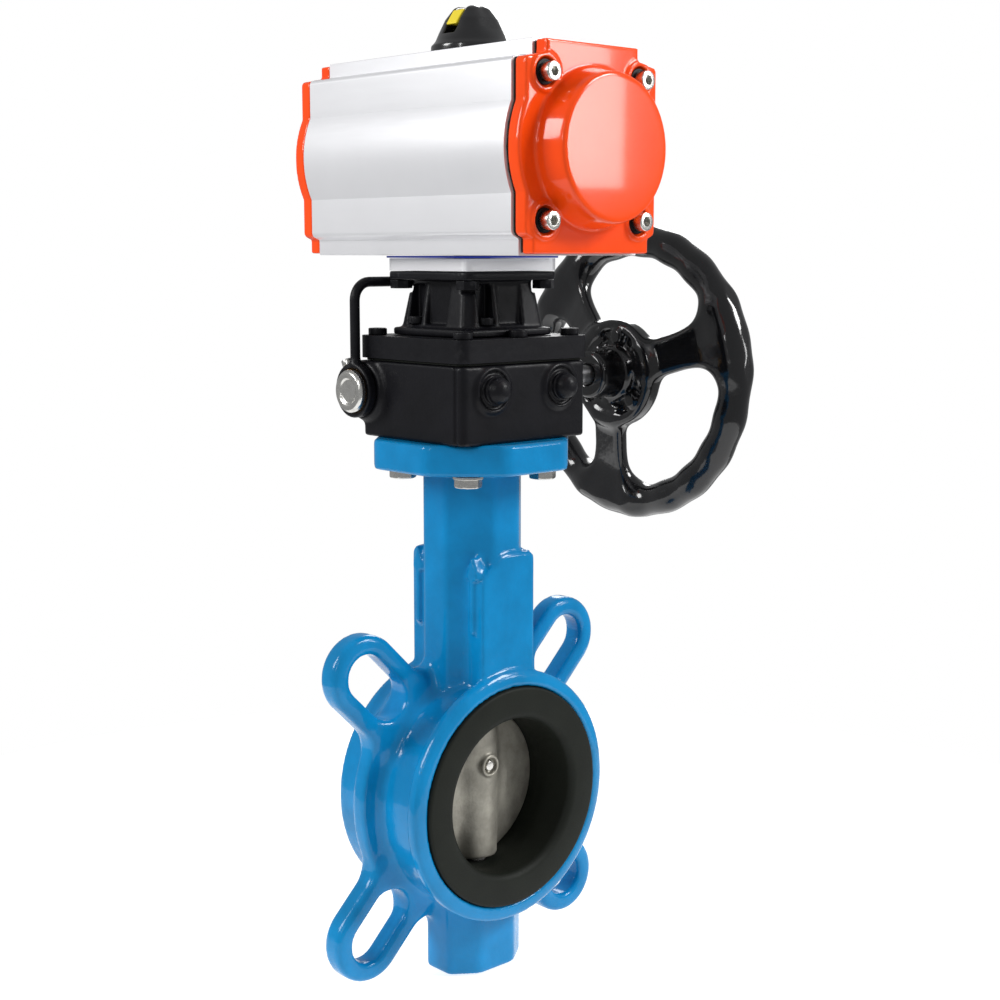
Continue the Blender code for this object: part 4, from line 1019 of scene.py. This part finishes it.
def body_outline(margin, steps, soft):
    """The extrusion's section in Y and Z: top and bottom plates, side flats, bulging barrel."""
    half_h = (ACT_HIGH.z - ACT_LOW.z) / 2
    side = SIDE_Y - margin
    bulge = BULGE_R - margin
    limit = atan2(sqrt(bulge ** 2 - side ** 2), side) * 180 / pi
    top = [(30 - margin, half_h - margin), (30 - margin, 40.5), (side - 1, 38.5), (side, 37)]
    low = [(side, -37), (side - 1, -38.5), (38 - margin, -40), (38 - margin, margin - half_h)]
    right = softened([(0, half_h - margin)] + top + [(side, 22)], soft, False, 3)[1:-1]
    right += arc((0, 0), bulge, limit, -limit, steps)
    right += softened([(side, -22)] + low + [(0, margin - half_h)], soft, False, 3)[1:-1]
    left = [(-y, z) for y, z in reversed(right)]
    return [(y, ACT_Z + z) for y, z in right + left]


def drill(name, axis, centre, radius, ends, sides=40):
    return turned(name, axis, centre, rod(radius, *ends), sides, 0.001)


def make_actuator_body():
    """The anodised extrusion with its air port pad, travel stop bosses, ports and bracket holes."""
    ends = (ACT_LOW.x, ACT_HIGH.x)
    body = extruded("body", "X", ends, body_outline(0, 40, 0.7))
    pad = square(24, 2, (0, 0), 15)
    pad = [(ACT_Z + 1 + v, u) for u, v in pad]
    pieces = [extruded("pad", "Y", (30, ACT_HIGH.y), pad)]
    for x in (-TRAVEL_STOP_X, TRAVEL_STOP_X):
        pieces.append(drill("boss", "Y", (x, 0, TRAVEL_STOP_Z), 8, (36, 47.5)))
    body = boolean(body, "UNION", pieces)
    tools = [drill("bore", "X", (0, 0, ACT_Z), CYLINDER_R, (-90, 90), 128),
             drill("top", "Z", (0, 0, 0), 13.8, (ACT_Z + 20, ACT_Z + 60), 64),
             drill("bottom", "Z", (0, 0, 0), 17.3, (ACT_Z - 60, ACT_Z - 20), 64)]
    for x in (-TRAVEL_STOP_X, TRAVEL_STOP_X):
        tools.append(drill("port", "Y", (x, 0, ACT_Z), 5.5, (ACT_HIGH.y - PORT_DEPTH, 60)))
        tools.append(drill("stop", "Y", (x, 0, TRAVEL_STOP_Z), 3.9, (25, 60)))
    for x in (-40, 40):
        for y in (-15, 15):
            tools.append(drill("hole", "Z", (x, y, 0), 2.3, (ACT_Z + 40, ACT_Z + 60), 24))
    for side in (-1, 1):
        for y, z in CAP_CORNERS:
            reach = sorted((side * 60, side * 80))
            tools.append(drill("screw", "X", (0, y, ACT_Z + z), 3.4, reach, 24))
    body = cut(body, *tools)
    stand_for(even_shading(bevelled(body, 0.35)), "actuator_body", "_extrusion")


def make_end_cap(side):
    """A cast cap: plate, raised boss at each screw, tapered dome with a flat face."""
    name = "end_cap_right" if side > 0 else "end_cap_left"
    low, high = corners(name)
    p = grid(low, high, 0.62)
    x, y, z = p[0] * side, p[1], p[2] - ACT_Z
    outline = [(a, b - ACT_Z) for a, b in body_outline(0.8, 12, 0.7)]
    back, face, front = CAP_LOW.x, CAP_LOW.x + CAP_PLATE, CAP_HIGH.x
    section = polygon_field(y, z, outline)
    cap = both(section, span(x, back, face), 0.9)
    reach = np.hypot(y, z)
    cone = (reach - np.interp(x, (face, front), DOME_R)) * 0.97
    dome = both(cone, span(x, back, front), 1.5)
    cap = joined(cap, dome, 1.2)
    for cy, cz in CAP_CORNERS:
        around = np.hypot(y - cy, z - cz)
        boss = overlap(both(around - 9, span(x, back, face + 0.9), 0.6), section, 1)
        cap = joined(cap, boss, 1)
    for cy, cz in CAP_CORNERS:
        around = np.hypot(y - cy, z - cz)
        cap = without(cap, both(around - 6.4, face - 1.6 - x), 0.4)
        cap = without(cap, around - 3.4 + 0 * x, 0.3)
    hollow = both(reach - 30, span(x, back - 9, front - 4), 3)
    cap = without(cap, hollow, 0.5)
    stand_for(skin("cap", p, cap), name, "_cast")


def make_cap_fasteners():
    """Socket screws with washers in the caps' corner recesses; the washers are black as painted
    shade deep in each recess.
    """
    length = 21
    profile = [(0, 5.6), (4.3, 5.6), (4.3, 0), (3, 0), (3, -length), (0, -length)]
    master = socket_head("cap_screw", profile, 2.5)
    profile = ring(5.6, 3.3, -1.5, -0.15)
    washer = turned("washer", "Z", (0, 0, 0), profile, 48, 0.3, closed=True)
    for k in range(1, 9):
        low, high = corners(f"cap_screw_{k}")
        side = 1 if high.x > 0 else -1
        seat = side * (max(abs(low.x), abs(high.x)) - 6)
        spin = Matrix.Rotation(0 if side > 0 else pi, 4, "Z")
        at = place_at(seat, (low.y + high.y) / 2, (low.z + high.z) / 2) @ spin @ AXES["X"]
        stand_for(copied(master, at), f"cap_screw_{k}")
        # black washers: painted shade for the dark deep in each corner recess
        extra(copied(washer, at), f"cap_shade_washer_{k}", "black_paint", "housing")
    bpy.data.objects.remove(master)
    bpy.data.objects.remove(washer)


def make_travel_stops():
    """Two stop bolts with lock nuts, on the side of the air ports."""
    for k in (1, 2):
        low, high = corners(f"travel_stop_bolt_{k}")
        x = (low.x + high.x) / 2
        profile = [(0, low.y), (3.5, low.y)]
        for i in range(int(high.y - low.y - 2)):
            profile += [(3.5, low.y + i + 0.5), (3.15, low.y + i + 1)]
        profile += [(3.5, high.y - 0.6), (3.1, high.y), (0, high.y)]
        bolt = turned("bolt", "Y", (x, 0, TRAVEL_STOP_Z), profile[::-1], 40, 0.1)
        centre = (TRAVEL_STOP_Z, x)
        socket = extruded("socket", "Y", (high.y - 3, high.y + 1), hexagon(1.9, centre))
        stand_for(sharpened(cut(bolt, socket)), f"travel_stop_bolt_{k}")
        nut = extruded("nut", "Y", (47.8, 52.6), hexagon(6.9, centre), hole(3.7, centre))
        nut = bevelled(nut, 0.5)
        extra(nut, f"travel_stop_nut_{k}", "stainless", "housing")


def make_indicator():
    """The black position dome with four scallops, a slot and its yellow bar."""
    low, high = corners("indicator_cap")
    p = grid(low, high, 0.42)
    x, y, z = p
    reach = np.hypot(x, y)
    up = z - low.z
    height = high.z - low.z
    wall = np.interp(up, (0, 4.1, 6.1, 10.1, 16.6, 21.6, height),
                     (19.4, 19.4, 17.6, 15.9, 12.7, 8.7, 5.6))
    angle = np.arctan2(y, x)
    scallop = 1.4 * (1 + np.cos(4 * angle)) / 2 * np.clip((up - 6) / 6, 0, 1)
    dome = both((reach - wall) * 0.85 + scallop, span(z, low.z, high.z), 1.4)
    dome = joined(dome, both(reach - 19.4, span(z, low.z, low.z + 4.1), 0.9), 1)
    slot_z, hollow_z = 374, 368.4
    slot = both(np.abs(x) - 4, slot_z - z)
    dome = without(dome, slot + 0 * y, 0.6)
    dome = drilled(dome, p, 2, (0, 0, 0), 14.4, (360, hollow_z), 0.3)
    dome = drilled(dome, p, 2, (0, 0, 0), 3.3, (360, slot_z + 2), 0.2)
    stand_for(skin("dome", p, dome), "indicator_cap", "_moulded")
    low, high = corners("indicator_insert")
    q = grid(low, high, 0.35)
    slope = (np.abs(q[1]) - 13.6 + (q[2] - low.z) * 0.685) / 1.21
    bar = overlap(box_field(q, (low.x, high.x), (low.y, high.y), (low.z, high.z), 0.6), slope, 0.8)
    stand_for(skin("bar", q, bar), "indicator_insert", "_moulded")


def dress_cad_nodes():
    """The nodes that no piece stands for keep their CAD shape and get their finish."""
    for name, node in NODES.items():
        if not node.hide_render:
            node.data.materials.clear()
            node.data.materials.append(MATERIALS[SLOT_OF[name]])
            node.data.shade_smooth()
            node.data.set_sharp_from_angle(angle=radians(35))


# ------------------------------ camera, light and floor

LENS = 60.3
SENSOR = 36
CAMERA_PLACE = (0.62339, -0.55148, 0.27104)
CAMERA_TARGET = (0.00924, 0.01010, 0.14726)
LIGHT_TARGET = (0, 0, 0.15)
FLOOR_R = 0.5


def aim(item, target):
    way = Vector(target) - item.location
    item.rotation_euler = way.to_track_quat("-Z", "Y").to_euler()


def make_camera():
    data = bpy.data.cameras.new("camera")
    data.lens = LENS
    data.sensor_width = SENSOR
    camera = bpy.data.objects.new("camera", data)
    bpy.context.scene.collection.objects.link(camera)
    camera.location = CAMERA_PLACE
    aim(camera, CAMERA_TARGET)
    bpy.context.scene.camera = camera


def soft_box(name, place, target, size, power):
    data = bpy.data.lights.new(name, "AREA")
    data.shape = "RECTANGLE"
    data.size = size[0]
    data.size_y = size[1]
    data.energy = power
    lamp = bpy.data.objects.new(name, data)
    bpy.context.scene.collection.objects.link(lamp)
    lamp.location = place
    aim(lamp, target)


def make_studio():
    world = bpy.data.worlds.new("studio")
    world.use_nodes = True
    tree = world.node_tree
    room = tree.nodes["Background"]
    room.inputs["Color"].default_value = (0.98, 0.99, 1, 1)
    room.inputs["Strength"].default_value = 0.36
    paper = tree.nodes.new("ShaderNodeBackground")
    paper.inputs["Color"].default_value = (1, 1, 1, 1)
    choice = tree.nodes.new("ShaderNodeMixShader")
    link(tree, tree.nodes.new("ShaderNodeLightPath").outputs["Is Camera Ray"],
         choice.inputs["Fac"])
    link(tree, room.outputs["Background"], choice.inputs[1])
    link(tree, paper.outputs["Background"], choice.inputs[2])
    link(tree, choice.outputs["Shader"], tree.nodes["World Output"].inputs["Surface"])
    bpy.context.scene.world = world
    bpy.context.scene.view_settings.view_transform = "Standard"
    soft_box("key", (-0.70, -1.30, 0.95), LIGHT_TARGET, (0.5, 0.7), 17)
    soft_box("side", (1.15, 0.90, 1.10), LIGHT_TARGET, (0.5, 0.5), 22)
    soft_box("accent", (1.33, 1.17, 0.54), (0.095, 0, 0.316), (0.19, 0.36), 3.0)
    soft_box("strip", (0.42, -1.45, 0.85), LIGHT_TARGET, (0.06, 0.7), 4)
    soft_box("rim", (-1.0, 1.2, 0.8), LIGHT_TARGET, (0.5, 0.8), 6)
    bm = bmesh.new()
    bmesh.ops.create_circle(bm, cap_ends=True, segments=96, radius=FLOOR_R)
    floor = from_bmesh("floor", bm, Matrix.Translation((0, 0, CAD_BOUNDS[0][2] - 0.0005)))
    material = bpy.data.materials.new("floor")
    material.use_nodes = True
    shader = material.node_tree.nodes["Principled BSDF"]
    shader.inputs["Base Color"].default_value = (0.5, 0.5, 0.5, 1)
    shader.inputs["Roughness"].default_value = 0.9
    shader.inputs["Emission Color"].default_value = (1, 1, 1, 1)
    shader.inputs["Emission Strength"].default_value = 0.8
    floor.data.materials.append(material)


make_camera()
make_studio()
make_valve_body()
make_seat_liner()
make_disc()
make_flange_bolts()
make_housing()
make_cover()
make_stop_bolts()
make_lever()
make_worm_ends()
make_lever_screws()
make_worm_shaft()
make_handwheel()
make_handwheel_nut()
make_spool()
plate("adapter", "adapter_plate", 0.5)
plate("gasket", "mounting_gasket", 0.1)
make_actuator_body()
make_end_cap(-1)
make_end_cap(1)
make_cap_fasteners()
make_travel_stops()
make_indicator()
dress_cad_nodes()
